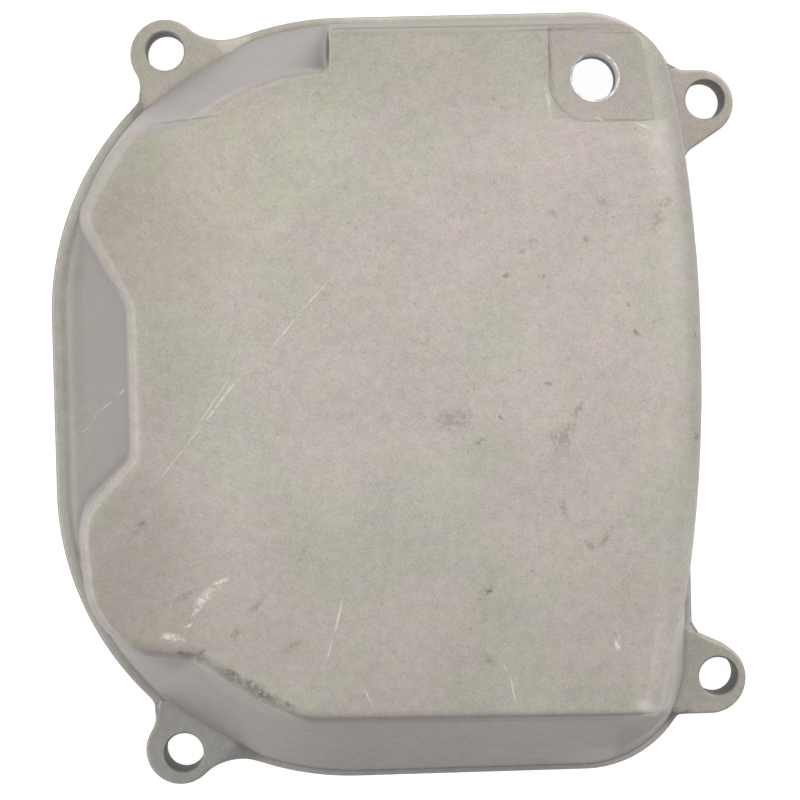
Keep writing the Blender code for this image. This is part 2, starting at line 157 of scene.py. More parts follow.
def inset(verts, d):
    """Corner points of an outline moved inwards by d on every side."""
    n = len(verts)
    out = []
    for i in range(n):
        p = np.array(verts[i][:2], float)
        a = p - np.array(verts[i - 1][:2], float)
        b = np.array(verts[(i + 1) % n][:2], float) - p
        a /= np.linalg.norm(a)
        b /= np.linalg.norm(b)
        turn = math.atan2(a[0] * b[1] - a[1] * b[0], a @ b)
        na, nb = np.array([-a[1], a[0]]), np.array([-b[1], b[0]])
        m = na + nb
        m *= d / (m @ na)
        r = verts[i][2]
        r = max(r - d, 2.1) if turn > 0 else r + d
        out.append((p[0] + m[0], p[1] + m[1], r))
    return out


def flange_corners(lip):
    le, ri, to, bo = lip
    side = (ri + bo) / 2, (ri + to) / 2, (le + to) / 2, (le + bo) / 2
    return [(RIGHT_X - ri, -HALF_LENGTH + bo, RIGHT_R[0] - side[0]),
            (RIGHT_X - ri, HALF_LENGTH - to, RIGHT_R[1] - side[1]),
            (LEFT_X + le, HALF_LENGTH - to, LEFT_R - side[2]),
            (LEFT_X + le, -HALF_LENGTH + bo, LEFT_R - side[3])]


LIPS = (LIP_LEFT, LIP_RIGHT, LIP_TOP, LIP_BOTTOM)

# the edge of the roof where its plane would meet the walls, from the lower
# right corner round: shoulder, top edge, step, crease, upper bulge, scoop,
# lower bulge, crease, bottom edge
ROOF_CORNERS = [
    (40.2, ROOF_BOTTOM_Y + ROOF_BOTTOM_RUN, 1.5),
    (56.4, 4.4, 182.0),
    (42.6, ROOF_TOP_Y - 0.3, 10.0),
    (STEP_X, ROOF_TOP_Y, 1.3),
    (STEP_X, STEP_Y, 0.9),
    (-22.1, 52.7, 34.0),
    (-33.0, 45.9, 5.0),
    (-42.0, 45.3, 7.5),
    (-47.3, 38.8, 40.0),
    (-51.7, 30.6, 4.8),
    (SCOOP_X, 16.2, 4.0),
    (SCOOP_X, -8.0, 3.0),
    (-52.9, -17.6, 9.0),
    (-51.6, -33.2, 13.0),
    (-44.7, -39.9, 9.0),
    (-34.9, -40.8, 3.0),
    (-18.3, ROOF_BOTTOM_Y, 14.0),
]


def shoulder_edge(y):
    d = y - SHOULDER_Y0
    up, down = np.maximum(d, 0), np.maximum(-d, 0)
    return SHOULDER_X - SHOULDER_TOP[0] * up ** SHOULDER_TOP[1] \
        - SHOULDER_END[0] * down ** SHOULDER_END[1]


def shoulder_radius(y):
    w = np.clip((-y - 15.0) / 39.0, 0, 1)
    return SHOULDER_R[0] - (SHOULDER_R[0] - SHOULDER_R[1]) * w * w * (3 - 2 * w)


def top_z(x, y, sink=0.0):
    """Height of the roof with its right shoulder."""
    r = shoulder_radius(y) - sink
    d = x - (shoulder_edge(y) - sink - r)
    dd = np.clip(d, 0, r)
    z = ROOF_Z - sink - r + np.sqrt(np.maximum(r * r - dd * dd, 0))
    return z - np.maximum(d - r, 0) * 10.0


def smooth(x, a, b):
    t = np.clip((x - a) / (b - a), 0, 1)
    return t * t * (3 - 2 * t)


def stations(edge, foot, reach, turn_edge, turn_foot, least=0.12):
    s = sorted(set(float(edge.s[k]) for k in edge.knots))
    s.append(edge.length)

    def split(a, b, depth):
        pa, pb = edge.at(a)[0], edge.at(b)[0]
        na, nb = edge.normal(a + 1e-3)[0], edge.normal(b - 1e-3)[0]
        ma = foot.normal(foot.nearest(pa))[0]
        mb = foot.normal(foot.nearest(pb))[0]
        far = b - a > reach
        bend = math.acos(max(-1, min(1, na @ nb))) > turn_edge
        swing = math.acos(max(-1, min(1, ma @ mb))) > turn_foot
        if depth < 10 and b - a > 2 * least and (far or bend or swing):
            m = (a + b) / 2
            return split(a, m, depth + 1) + split(m, b, depth + 1)
        return [a]

    out = []
    for a, b in zip(s[:-1], s[1:]):
        if b - a > 1e-6:
            out += split(a, b, 0)
    return np.array(out)


def foot_places(edge, foot, s, width):
    """Where each station's wall meets the foot outline, spread evenly over
    about width millimetres where many stations project to one place."""
    e = edge.at(s)
    t = np.array([foot.nearest(p) for p in e])
    k = int(np.argmin(t))
    n = len(t)
    t = np.where(np.arange(n) < k, t - foot.length, t) if k < n / 2 \
        else np.where(np.arange(n) >= k, t + foot.length, t)
    t = np.maximum.accumulate(t)
    # smooth over distance along the edge, at even spacing
    m = int(edge.length / 0.25)
    u = np.arange(m) * edge.length / m
    order = np.argsort(s)
    base = np.interp(u, np.r_[s[order], edge.length],
                     np.r_[t[order], t[order][0] + foot.length])
    lin = base[0] + u * foot.length / edge.length
    off = base - lin
    kern = np.exp(-0.5 * (np.arange(-80, 81) * 0.25 / width) ** 2)
    kern /= kern.sum()
    ext = np.concatenate([off[-80:], off, off[:80]])
    off = np.convolve(ext, kern, "valid")
    return np.interp(s, np.r_[u, edge.length],
                     np.r_[lin + off, lin[0] + foot.length + off[0]])


def knees(run, e, foot_z, top, sink):
    """Where the wall bends: on the straight wall line, or in the scoop
    between the bulges where its sloping floor meets the steep wall."""
    kz = foot_z + 0.3 * (top - foot_z)
    line = np.c_[0.3 * run, np.full(len(run), kz)]
    w = smooth(e[:, 0], -37.0, -40.0) \
        * smooth(e[:, 1], -30.5 - sink, -24.0 - sink) \
        * smooth(e[:, 1], 37.5 + sink, 31.0 + sink)
    steep, rise = 11.0 - 0.5 * sink, 0.86
    f0 = 4.4 - 0.55 * sink
    sk = np.maximum((steep * run - (top - f0)) / (steep - rise), 0.05)
    scoop = np.c_[sk, np.maximum(f0 + rise * sk, foot_z + 0.2)]
    return line * (1 - w)[:, None] + scoop * w[:, None], w


def wall_top(f, d, run, knee, top, sink):
    """(s, z) where each wall line meets the roof surface."""
    tau = np.linspace(0, 1, 401)
    ss = knee[:, :1] + (run[:, None] - knee[:, :1]) * tau
    zz = knee[:, 1:] + (top - knee[:, 1:]) * tau
    x = f[:, :1] + d[:, :1] * ss
    y = f[:, 1:] + d[:, 1:] * ss
    over = zz - top_z(x, y, sink)
    cut = []
    for i in range(len(run)):
        under = np.nonzero(over[i] < -1e-9)[0]
        j = int(under[-1]) if len(under) else len(tau) - 2
        a, b = over[i, j], over[i, j + 1]
        q = min(1, max(0, -a / (b - a))) if b > a else 1
        cut.append((ss[i, j] + (ss[i, j + 1] - ss[i, j]) * q,
                    zz[i, j] + (zz[i, j + 1] - zz[i, j]) * q))
    return np.array(cut)


def unroll(x, y, sink=0.0):
    r = shoulder_radius(y) - sink
    d = x - (shoulder_edge(y) - sink - r)
    a = np.arcsin(np.clip(d / r, 0, 1)) * r
    return np.where(d > 0, x - d + a, x)


def roll(a, y, sink=0.0):
    r = shoulder_radius(y) - sink
    xs = shoulder_edge(y) - sink - r
    ang = np.clip((a - xs) / r, 0, math.pi / 2)
    return np.where(a > xs, xs + r * np.sin(ang), a)


def inside(poly, pts):
    """Which points lie inside a closed polygon."""
    x, y = pts[:, 0], pts[:, 1]
    hit = np.zeros(len(pts), bool)
    nxt = np.roll(poly, -1, axis=0)
    for (ax, ay), (bx, by) in zip(poly, nxt):
        if ay == by:
            continue
        cond = (ay > y) != (by > y)
        hit ^= cond & (x < (bx - ax) * (y - ay) / (by - ay) + ax)
    return hit


def distance(poly, pts):
    """Distance of each point from a closed polygon."""
    best = np.full(len(pts), 1e9)
    nxt = np.roll(poly, -1, axis=0)
    for a, b in zip(poly, nxt):
        d = b - a
        q = np.clip(((pts - a) @ d) / max(d @ d, 1e-12), 0, 1)
        c = a + q[:, None] * d
        best = np.minimum(best, np.hypot(*(pts - c).T))
    return best


def hexes(x0, x1, y0, y1, pitch):
    rows = []
    for j, y in enumerate(np.arange(y0, y1, pitch * 0.866)):
        x = np.arange(x0 + (pitch / 2 if j % 2 else 0), x1, pitch)
        rows.append(np.c_[x, np.full(len(x), y)])
    return np.vstack(rows)


# ----------------------------------------------------------- the ear outlines
def arc(cx, cy, r, a0, a1, n):
    return [(cx + r * math.cos(a0 + (a1 - a0) * i / n),
             cy + r * math.sin(a0 + (a1 - a0) * i / n)) for i in range(n + 1)]


def blend_centre(c0, r0, c1, r1, side):
    dx, dy = c1[0] - c0[0], c1[1] - c0[1]
    d = math.hypot(dx, dy)
    a = (r0 * r0 - r1 * r1 + d * d) / (2 * d)
    h = math.sqrt(max(r0 * r0 - a * a, 0))
    ux, uy = dx / d, dy / d
    return (c0[0] + a * ux - side * h * uy, c0[1] + a * uy + side * h * ux)


def left_ear(sign, centre, r):
    big = (LEFT_X + LEFT_R, HALF_LENGTH - LEFT_R)
    wide, tight = 8.0, 4.5
    cw = blend_centre(big, LEFT_R + wide, centre, r + wide, -1)
    ct = blend_centre(big, LEFT_R + tight, centre, r + tight, 1)

    def ang(p, q):
        return math.atan2(q[1] - p[1], q[0] - p[0])

    a0, a1 = ang(cw, big), ang(cw, centre)
    if a1 > a0:
        a1 -= 2 * math.pi
    out = arc(cw[0], cw[1], wide, a0, a1, 16)
    a0, a1 = ang(centre, cw), ang(centre, ct)
    if a1 < a0:
        a1 += 2 * math.pi
    out += arc(centre[0], centre[1], r, a0, a1, 44)[1:]
    a0, a1 = ang(ct, centre), ang(ct, big)
    if a1 > a0:
        a1 -= 2 * math.pi
    out += arc(ct[0], ct[1], tight, a0, a1, 12)[1:]
    if sign < 0:
        out = [(x, -y) for x, y in out][::-1]
    return out


def right_ear(sign, centre, r, slant):
    cx, cy = centre
    corner_r = RIGHT_R[1] if sign > 0 else RIGHT_R[0]
    big = (RIGHT_X - corner_r, HALF_LENGTH - corner_r)
    ta = -math.radians(slant)
    tx, ty = cx + r * math.cos(ta), cy + r * math.sin(ta)
    ux, uy = math.sin(ta), -math.cos(ta)
    rho = 3.5
    bx = RIGHT_X + rho
    q = (bx - (tx + rho * math.cos(ta))) / ux
    by = ty + rho * math.sin(ta) + q * uy
    out = arc(bx, by, rho, math.pi, math.pi + ta, 10)
    # the slanting edge between the blend and the ear's round
    p0 = np.array(out[-1])
    p1 = np.array([tx, ty])
    k = max(2, int(np.linalg.norm(p1 - p0) / 0.8))
    out += [tuple(p0 + (p1 - p0) * i / k) for i in range(1, k)]
    out += arc(cx, cy, r, ta, math.pi / 2, 40)
    end_y = cy + r
    rho = 3.0
    ex = big[0] + math.sqrt((corner_r + rho) ** 2 - (end_y + rho - big[1]) ** 2)
    k = max(2, int(abs(cx - ex) / 0.8))
    out += [(cx + (ex - cx) * i / k, end_y) for i in range(1, k)]
    a1 = math.atan2(big[1] - (end_y + rho), big[0] - ex)
    out += arc(ex, end_y + rho, rho, -math.pi / 2, a1, 8)
    if sign < 0:
        out = [(x, -y) for x, y in out][::-1]
    return out


# side, sign, centre, radius, slant, the two points where the raised top ends
# at the wall: the sharp one, and the one that fades into the lip
EARS = [
    ("left", 1, (-38.4, 60.05), 6.05, 0, (-41.9, 51.2), (-29.0, 60.2)),
    ("right", 1, (53.87, 49.58), 5.7, 57.0, (50.2, 41.4), (46.2, 55.6)),
    ("left", -1, (-39.1, 60.15), 6.0, 0, (-42.3, -52.2), (-30.5, -59.7)),
    ("right", -1, (53.3, 50.4), 6.18, 65.0, (48.0, -43.2), (45.4, -55.2)),
]


def rim_outline():
    """Outline of the flange with its four ears."""
    flange = Outline(flange_corners((0, 0, 0, 0)))
    spans = []
    for side, sign, centre, r, slant, _, _ in EARS:
        out = left_ear(sign, centre, r) if side == "left" \
            else right_ear(sign, centre, r, slant)
        spans.append((flange.nearest(out[0]), flange.nearest(out[-1]), out))
    spans.sort(key=lambda v: v[0])
    pts = []
    for k, (a, b, out) in enumerate(spans):
        pts += out
        nxt = spans[(k + 1) % len(spans)][0]
        if nxt < b:
            nxt += flange.length
        m = max(2, int((nxt - b) / 0.9))
        s = b + (nxt - b) * np.arange(1, m) / m
        pts += [tuple(p) for p in flange.at(s)]
    pts = np.array(pts)
    keep = np.linalg.norm(pts - np.roll(pts, 1, axis=0), axis=1) > 0.05
    return pts[keep]


def moved_in(pts, d):
    """A closed outline moved inwards by d, point by point."""
    tan = np.roll(pts, -1, axis=0) - np.roll(pts, 1, axis=0)
    tan /= np.linalg.norm(tan, axis=1)[:, None]
    return pts + np.c_[-tan[:, 1], tan[:, 0]] * d


def hull(points):
    """Convex hull, counter-clockwise."""
    pts = sorted(set((round(float(x), 6), round(float(y), 6))
                     for x, y in points))

    def half(seq):
        out = []
        for p in seq:
            while len(out) > 1 and \
                    (out[-1][0] - out[-2][0]) * (p[1] - out[-2][1]) \
                    - (out[-1][1] - out[-2][1]) * (p[0] - out[-2][0]) <= 0:
                out.pop()
            out.append(p)
        return out[:-1]

    return np.array(half(pts) + half(pts[::-1]))


def ear_shapes():
    shapes = []
    for side, sign, (cx, cy), r, slant, sharp, fade in EARS:
        c = np.array([cx, cy * sign])
        sharp, fade = np.array(sharp), np.array(fade)
        ring = [(c[0] + r * math.cos(a), c[1] + r * math.sin(a))
                for a in np.linspace(0, 2 * math.pi, 48, endpoint=False)]
        inward = np.array([-4.3, 0]) - (sharp + fade) / 2
        inward /= np.linalg.norm(inward)
        poly = hull(ring + [sharp, fade, sharp + inward * 5, fade + inward * 5])
        tangent = (fade - sharp) / np.linalg.norm(fade - sharp)
        shapes.append((side, poly, c, tangent))
    return shapes


EAR_SHAPES = ear_shapes()


def ear_raise(x, y):
    """0 on the lip, 1 on the raised top of an ear."""
    out = np.zeros(np.shape(x))
    for side, poly, c, tangent in EAR_SHAPES:
        nxt = np.roll(poly, -1, axis=0)
        sd = np.full(np.shape(x), -1e9)
        for a, b in zip(poly, nxt):
            d = b - a
            d = d / max(np.linalg.norm(d), 1e-9)
            sd = np.maximum(sd, (x - a[0]) * d[1] - (y - a[1]) * d[0])
        along = (x - c[0]) * tangent[0] + (y - c[1]) * tangent[1]
        if side == "left":
            width = 0.8 + 5.5 * smooth(along, 1.0, 8.0)
        else:
            width = 1.3
        out = np.maximum(out, 1 - smooth(sd, 0.0, width))
    return out


FOOT = Outline(flange_corners(LIPS))


# ------------------------------------------------------------------- meshing
def new_object(name, verts, faces):
    mesh = bpy.data.meshes.new(name)
    mesh.from_pydata([tuple(float(c) * MM for c in v) for v in verts], [],
                     [tuple(int(i) for i in f) for f in faces])
    bm = bmesh.new()
    bm.from_mesh(mesh)
    bmesh.ops.recalc_face_normals(bm, faces=bm.faces)
    if bm.calc_volume(signed=True) < 0:
        bmesh.ops.reverse_faces(bm, faces=bm.faces)
    bm.to_mesh(mesh)
    bm.free()
    obj = bpy.data.objects.new(name, mesh)
    bpy.context.scene.collection.objects.link(obj)
    return obj


def strip(faces, a, b, n):
    """Quads between two rings of n points that start at a and b."""
    for i in range(n):
        j = (i + 1) % n
        faces.append((a + i, a + j, b + j, b + i))


# how far the roof edge is rounded at each corner of its outline
EDGE_ROUND = [0.95, 2.0, 1.5, 0.9, 0.8, 1.6, 2.4, 3.2, 3.6, 3.9, 2.9, 2.8,
              3.0, 2.8, 2.6, 2.0, 1.6]


def edge_round(edge, corners, s):
    at = np.array([edge.nearest(c[:2]) for c in corners])
    order = np.argsort(at)
    at, val = at[order], np.array(EDGE_ROUND)[order]
    at = np.r_[at[-1] - edge.length, at, at[0] + edge.length]
    val = np.r_[val[-1], val, val[0]]
    return np.interp(s, at, val)


def walls(corners, foot_verts, foot_z, sink, reach, turn, width, low, mid,
          high, nround, rounds, bed=None):
    """Rings up a wall, from where it meets the lip to inside the roof edge.
    bed gives the height of the lip at a point."""
    edge, foot = Outline(corners), Outline(foot_verts)
    s = stations(edge, foot, reach, math.radians(turn[0]),
                 math.radians(turn[1]))
    e, ne = edge.at(s), edge.normal(s)
    f = foot.at(foot_places(edge, foot, s, width))
    top = ROOF_Z - sink
    run = np.linalg.norm(e - f, axis=1)
    d = (e - f) / run[:, None]
    knee, _ = knees(run, e, foot_z, top, sink)
    cut = wall_top(f, d, run, knee, top, sink)
    n = len(s)

    def ring(sz):
        return np.c_[f + d * sz[:, :1], sz[:, 1]]

    # the wall line starts where it meets the lip
    start = np.c_[np.zeros(n), np.full(n, float(foot_z))]
    if bed is not None:
        slope = knee[:, 0] / (knee[:, 1] - foot_z)
        for _ in range(6):
            p = f + d * start[:, :1]
            z = bed(p[:, 0], p[:, 1])
            start = np.c_[(z - foot_z) * slope, z]
    lo = knee - start
    lo_len = np.linalg.norm(lo, axis=1)
    hi = cut - knee
    hi_len = np.linalg.norm(hi, axis=1)
    bend = np.minimum(np.minimum(2.6, 0.45 * lo_len), 0.3 * hi_len)
    k1 = knee - lo * (bend / lo_len)[:, None]
    k2 = knee + hi * (bend / hi_len)[:, None]
    if rounds is None:
        t = np.full(n, 1.6)
    else:
        t = edge_round(edge, ROOF_CORNERS, s)
    t = np.minimum(t, 0.45 * hi_len)
    stop = cut - hi * (t / hi_len)[:, None]
    rings = []
    for j in range(low):
        rings.append(ring(start + (k1 - start) * (j / low)))
    for j in range(mid):
        q = j / mid
        rings.append(ring(k1 * (1 - q) ** 2 + knee * 2 * q * (1 - q)
                          + k2 * q * q))
    for j in range(high):
        rings.append(ring(k2 + (stop - k2) * (j / high)))
    edge_xy = f + d * cut[:, :1]
    flat = np.c_[unroll(edge_xy[:, 0], edge_xy[:, 1], sink), edge_xy[:, 1]]

    def on_roof(dist):
        q = flat + ne * dist[:, None]
        x = roll(q[:, 0], q[:, 1], sink)
        return np.c_[x, q[:, 1], top_z(x, q[:, 1], sink)]

    p0, p1, p2 = ring(stop), np.c_[edge_xy, cut[:, 1]], on_roof(t)
    for j in range(nround + 1):
        q = j / nround
        rings.append(p0 * (1 - q) ** 2 + p1 * 2 * q * (1 - q) + p2 * q * q)
    rings.append(on_roof(t + 0.3))
    return rings


def cap(verts, faces, last, base, sink, pitch):
    """Fills the roof inside the last ring, following the shoulder."""
    n = len(last)
    poly = np.c_[unroll(last[:, 0], last[:, 1], sink), last[:, 1]]
    pts = hexes(-56, 62, -54, 61, pitch)
    pts = pts[inside(poly, pts)]
    pts = pts[distance(poly, pts) > 0.5 * pitch]
    out = delaunay_2d_cdt([Vector(p) for p in np.vstack([poly, pts])],
                          [(i, (i + 1) % n) for i in range(n)], [], 1, 1e-6)
    index, added = {}, []
    for i, p in enumerate(out[0]):
        src = out[3][i]
        if src and src[0] < n:
            index[i] = base + src[0]
        else:
            x = float(roll(p[0], p[1], sink))
            index[i] = len(verts) + len(added)
            added.append((x, p[1], float(top_z(x, p[1], sink))))
    faces += [tuple(index[i] for i in f) for f in out[2]]
    return verts + added


def outer_skin():
    """The whole outside as one closed skin: underside, flange edge with its
    ears, lip, walls, roof."""
    def bed(x, y):
        return FLANGE_T + (EAR_T - FLANGE_T) * ear_raise(x, y) - CREASE

    rings = walls(ROOF_CORNERS, flange_corners(LIPS), FLANGE_T, 0.0,
                  1.0, (4, 3), 1.6, 6, 6, 8, 8, True, bed)
    n = len(rings[0])
    verts = [tuple(p) for r in rings for p in r]
    faces = []
    for k in range(len(rings) - 1):
        strip(faces, k * n, (k + 1) * n, n)
    verts = cap(verts, faces, rings[-1], (len(rings) - 1) * n, 0.0, 1.15)

    # edge of the flange and of the ears
    line = rim_outline()
    m = len(line)
    top_at = moved_in(line, LIP_ROUND)
    ztop = FLANGE_T + (EAR_T - FLANGE_T) * ear_raise(top_at[:, 0],
                                                      top_at[:, 1])
    rim = []
    rim.append(np.c_[moved_in(line, 0.2), np.zeros(m)])
    rim.append(np.c_[line, np.full(m, 0.2)])
    for q in (0.35, 0.7):
        rim.append(np.c_[line, 0.2 + (ztop - LIP_ROUND - 0.2) * q])
    for j in range(5):
        a = math.pi / 2 * j / 4
        rim.append(np.c_[moved_in(line, LIP_ROUND * (1 - math.cos(a))),
                         ztop - LIP_ROUND * (1 - math.sin(a))])
    at = len(verts)
    for r in rim:
        verts += [tuple(p) for p in r]
    for k in range(len(rim) - 1):
        strip(faces, at + k * m, at + (k + 1) * m, m)
    outer_base = at + (len(rim) - 1) * m

    # a ring just outside the foot of the wall, then the lip between them
    foot = rings[0][:, :2]
    skirt = moved_in(foot, -0.3)
    sz = FLANGE_T + (EAR_T - FLANGE_T) * ear_raise(skirt[:, 0], skirt[:, 1])
    skirt_base = len(verts)
    verts += [tuple(p) for p in np.c_[skirt, sz - 0.3 * CREASE]]
    strip(faces, skirt_base, 0, n)

    outer = rim[-1][:, :2]
    lip_pts = hexes(-62, 62, -70, 70, 0.85)
    near = []
    for _, poly, c, _ in EAR_SHAPES:
        box = hexes(c[0] - 14, c[0] + 14, c[1] - 13, c[1] + 13, 0.42)
        near.append(box)
    fine = np.vstack(near)
    lip_pts = lip_pts[[not any(abs(p[0] - c[0]) < 14.2 and
                               abs(p[1] - c[1]) < 13.2
                               for _, _, c, _ in EAR_SHAPES)
                       for p in lip_pts]]
    fine = np.unique(np.round(fine, 5), axis=0)
    pts = np.vstack([lip_pts, fine])
    pts = pts[inside(outer, pts) & ~inside(skirt, pts)]
    pts = pts[(distance(outer, pts) > 0.2) & (distance(skirt, pts) > 0.2)]
    coords = np.vstack([outer, skirt, pts])
    loops = [(i, (i + 1) % m) for i in range(m)] \
        + [(m + i, m + (i + 1) % n) for i in range(n)]
    out = delaunay_2d_cdt([Vector(p) for p in coords], loops, [], 1, 1e-6)
    index, added = {}, []
    for i, p in enumerate(out[0]):
        src = [k for k in out[3][i] if k < m + n]
        if src:
            k = src[0]
            index[i] = outer_base + k if k < m else skirt_base + k - m
        else:
            z = FLANGE_T + (EAR_T - FLANGE_T) * float(ear_raise(
                np.array([p[0]]), np.array([p[1]]))[0])
            index[i] = len(verts) + len(added)
            added.append((p[0], p[1], z))
    cent = np.array([[sum(out[0][i][k] for i in f) / 3 for k in (0, 1)]
                     for f in out[2]])
    keep = ~inside(skirt, cent)
    faces += [tuple(index[i] for i in f)
              for f, ok in zip(out[2], keep) if ok]
    verts += added

    # flat underside
    low = rim[0][:, :2]
    out = delaunay_2d_cdt([Vector(p) for p in low],
                          [(i, (i + 1) % m) for i in range(m)], [], 1, 1e-6)
    back = {i: at + out[3][i][0] for i in range(len(out[0]))}
    faces += [tuple(back[i] for i in f)[::-1] for f in out[2]]
    return new_object("Cylinder_head_cover", verts, faces)


def inner_skin():
    """The hollow inside, from under the gasket face up to the roof."""
    rings = walls(inset(ROOF_CORNERS, WALL), flange_corners((RIM_W,) * 4),
                  0.0, WALL, 1.6, (8, 6), 2.0, 4, 4, 5, 5, None)
    rings = [np.c_[rings[0][:, :2], np.full(len(rings[0]), -1.0)]] + rings
    n = len(rings[0])
    verts = [tuple(p) for r in rings for p in r]
    faces = [tuple(range(n))[::-1]]
    for k in range(len(rings) - 1):
        strip(faces, k * n, (k + 1) * n, n)
    verts = cap(verts, faces, rings[-1], (len(rings) - 1) * n, WALL, 2.2)
    return new_object("hollow", verts, faces)


def turned(cx, cy, profile, n):
    """Rings of a round body from (radius, z) pairs, closed at both ends."""
    verts, faces = [], []
    for r, z in profile:
        verts += [(cx + r * math.cos(2 * math.pi * i / n),
                   cy + r * math.sin(2 * math.pi * i / n), z)
                  for i in range(n)]
    for k in range(len(profile) - 1):
        strip(faces, k * n, (k + 1) * n, n)
    faces.append(tuple(range(n))[::-1])
    faces.append(tuple(range((len(profile) - 1) * n, len(profile) * n)))
    return verts, faces


def merged(name, parts):
    verts, faces = [], []
    for v, f in parts:
        k = len(verts)
        verts += list(v)
        faces += [tuple(i + k for i in g) for g in f]
    return new_object(name, verts, faces)


def openings():
    """Bolt holes with a slight chamfer at both ends, breather bore, and the
    gasket groove."""
    parts = []
    for hx, hy in (LEFT_HOLE, RIGHT_HOLE, (LEFT_HOLE[0], -LEFT_HOLE[1]),
                   (RIGHT_HOLE[0], -RIGHT_HOLE[1])):
        parts.append(turned(hx, hy, [
            (HOLE_R + 0.4, -0.5), (HOLE_R + 0.35, 0.0), (HOLE_R, 0.35),
            (HOLE_R, EAR_T - 0.3), (HOLE_R + 0.1, EAR_T - 0.15),
            (HOLE_R + 0.32, EAR_T + 0.02), (HOLE_R + 0.5, EAR_T + 0.2),
            (HOLE_R + 0.5, EAR_T + 1.5)], 72))
    z = ROOF_Z - PAD_DROP
    parts.append(turned(*BORE, [
        (BORE_R, 20.0), (BORE_R, z - 0.32), (BORE_R + 0.12, z - 0.16),
        (BORE_R + 0.4, z + 0.02), (BORE_R + 0.6, z + 0.15),
        (BORE_R + 0.6, 40.0)], 96))
    line_o = Outline(flange_corners((GROOVE_FROM,) * 4))
    line_i = Outline(flange_corners((GROOVE_FROM + GROOVE_W,) * 4))
    n = int(line_i.length / 1.2)
    outer = line_o.at(np.arange(n) * line_o.length / n)
    inner = line_i.at(np.arange(n) * line_i.length / n)
    verts = [(x, y, -1.0) for x, y in outer] \
        + [(x, y, GROOVE_D) for x, y in outer] \
        + [(x, y, -1.0) for x, y in inner] \
        + [(x, y, GROOVE_D) for x, y in inner]
    faces = []
    for i in range(n):
        j = (i + 1) % n
        faces.append((i, j, n + j, n + i))
        faces.append((2 * n + j, 2 * n + i, 3 * n + i, 3 * n + j))
        faces.append((n + i, n + j, 3 * n + j, 3 * n + i))
        faces.append((j, i, 2 * n + i, 2 * n + j))
    parts.append((verts, faces))
    return merged("openings", parts)


def pad_cutter():
    """Machined pad round the breather bore: a step down with its lower left
    corner rounded, sides drafted by a few degrees."""
    def outline(g):
        pts = [(62.0, PAD_Y - g), (62.0, 72.0), (PAD_X - g, 72.0)]
        k = PAD_R + g
        pts += arc(PAD_X - g + k, PAD_Y - g + k, k, math.pi, 1.5 * math.pi, 24)
        return pts

    z0, z1 = ROOF_Z - PAD_DROP, ROOF_Z + 1.0
    low, high = outline(0.0), outline(0.35 * (z1 - z0))
    n = len(low)
    verts = [(x, y, z0) for x, y in low] + [(x, y, z1) for x, y in high]
    faces = [tuple(range(n))[::-1], tuple(range(n, 2 * n))]
    strip(faces, 0, n, n)
    return new_object("pad", verts, faces)


def cut(target, tool, operation):
    mod = target.modifiers.new(tool.name, "BOOLEAN")
    mod.operation = operation
    mod.solver = "EXACT"
    mod.object = tool
    dg = bpy.context.evaluated_depsgraph_get()
    mesh = bpy.data.meshes.new_from_object(target.evaluated_get(dg))
    old = target.data
    target.modifiers.clear()
    target.data = mesh
    bpy.data.meshes.remove(old)
    bpy.data.objects.remove(tool, do_unlink=True)


def head_cover():
    cover = outer_skin()
    cut(cover, inner_skin(), "DIFFERENCE")
    z = ROOF_Z - PAD_DROP
    boss = merged("boss", [turned(*BORE, [
        (BOSS_R - 0.4, BOSS_Z), (BOSS_R, BOSS_Z + 0.4),
        (BOSS_R, z - 0.9)], 64)])
    cut(cover, boss, "UNION")
    cut(cover, pad_cutter(), "DIFFERENCE")
    cut(cover, openings(), "DIFFERENCE")
    return cover


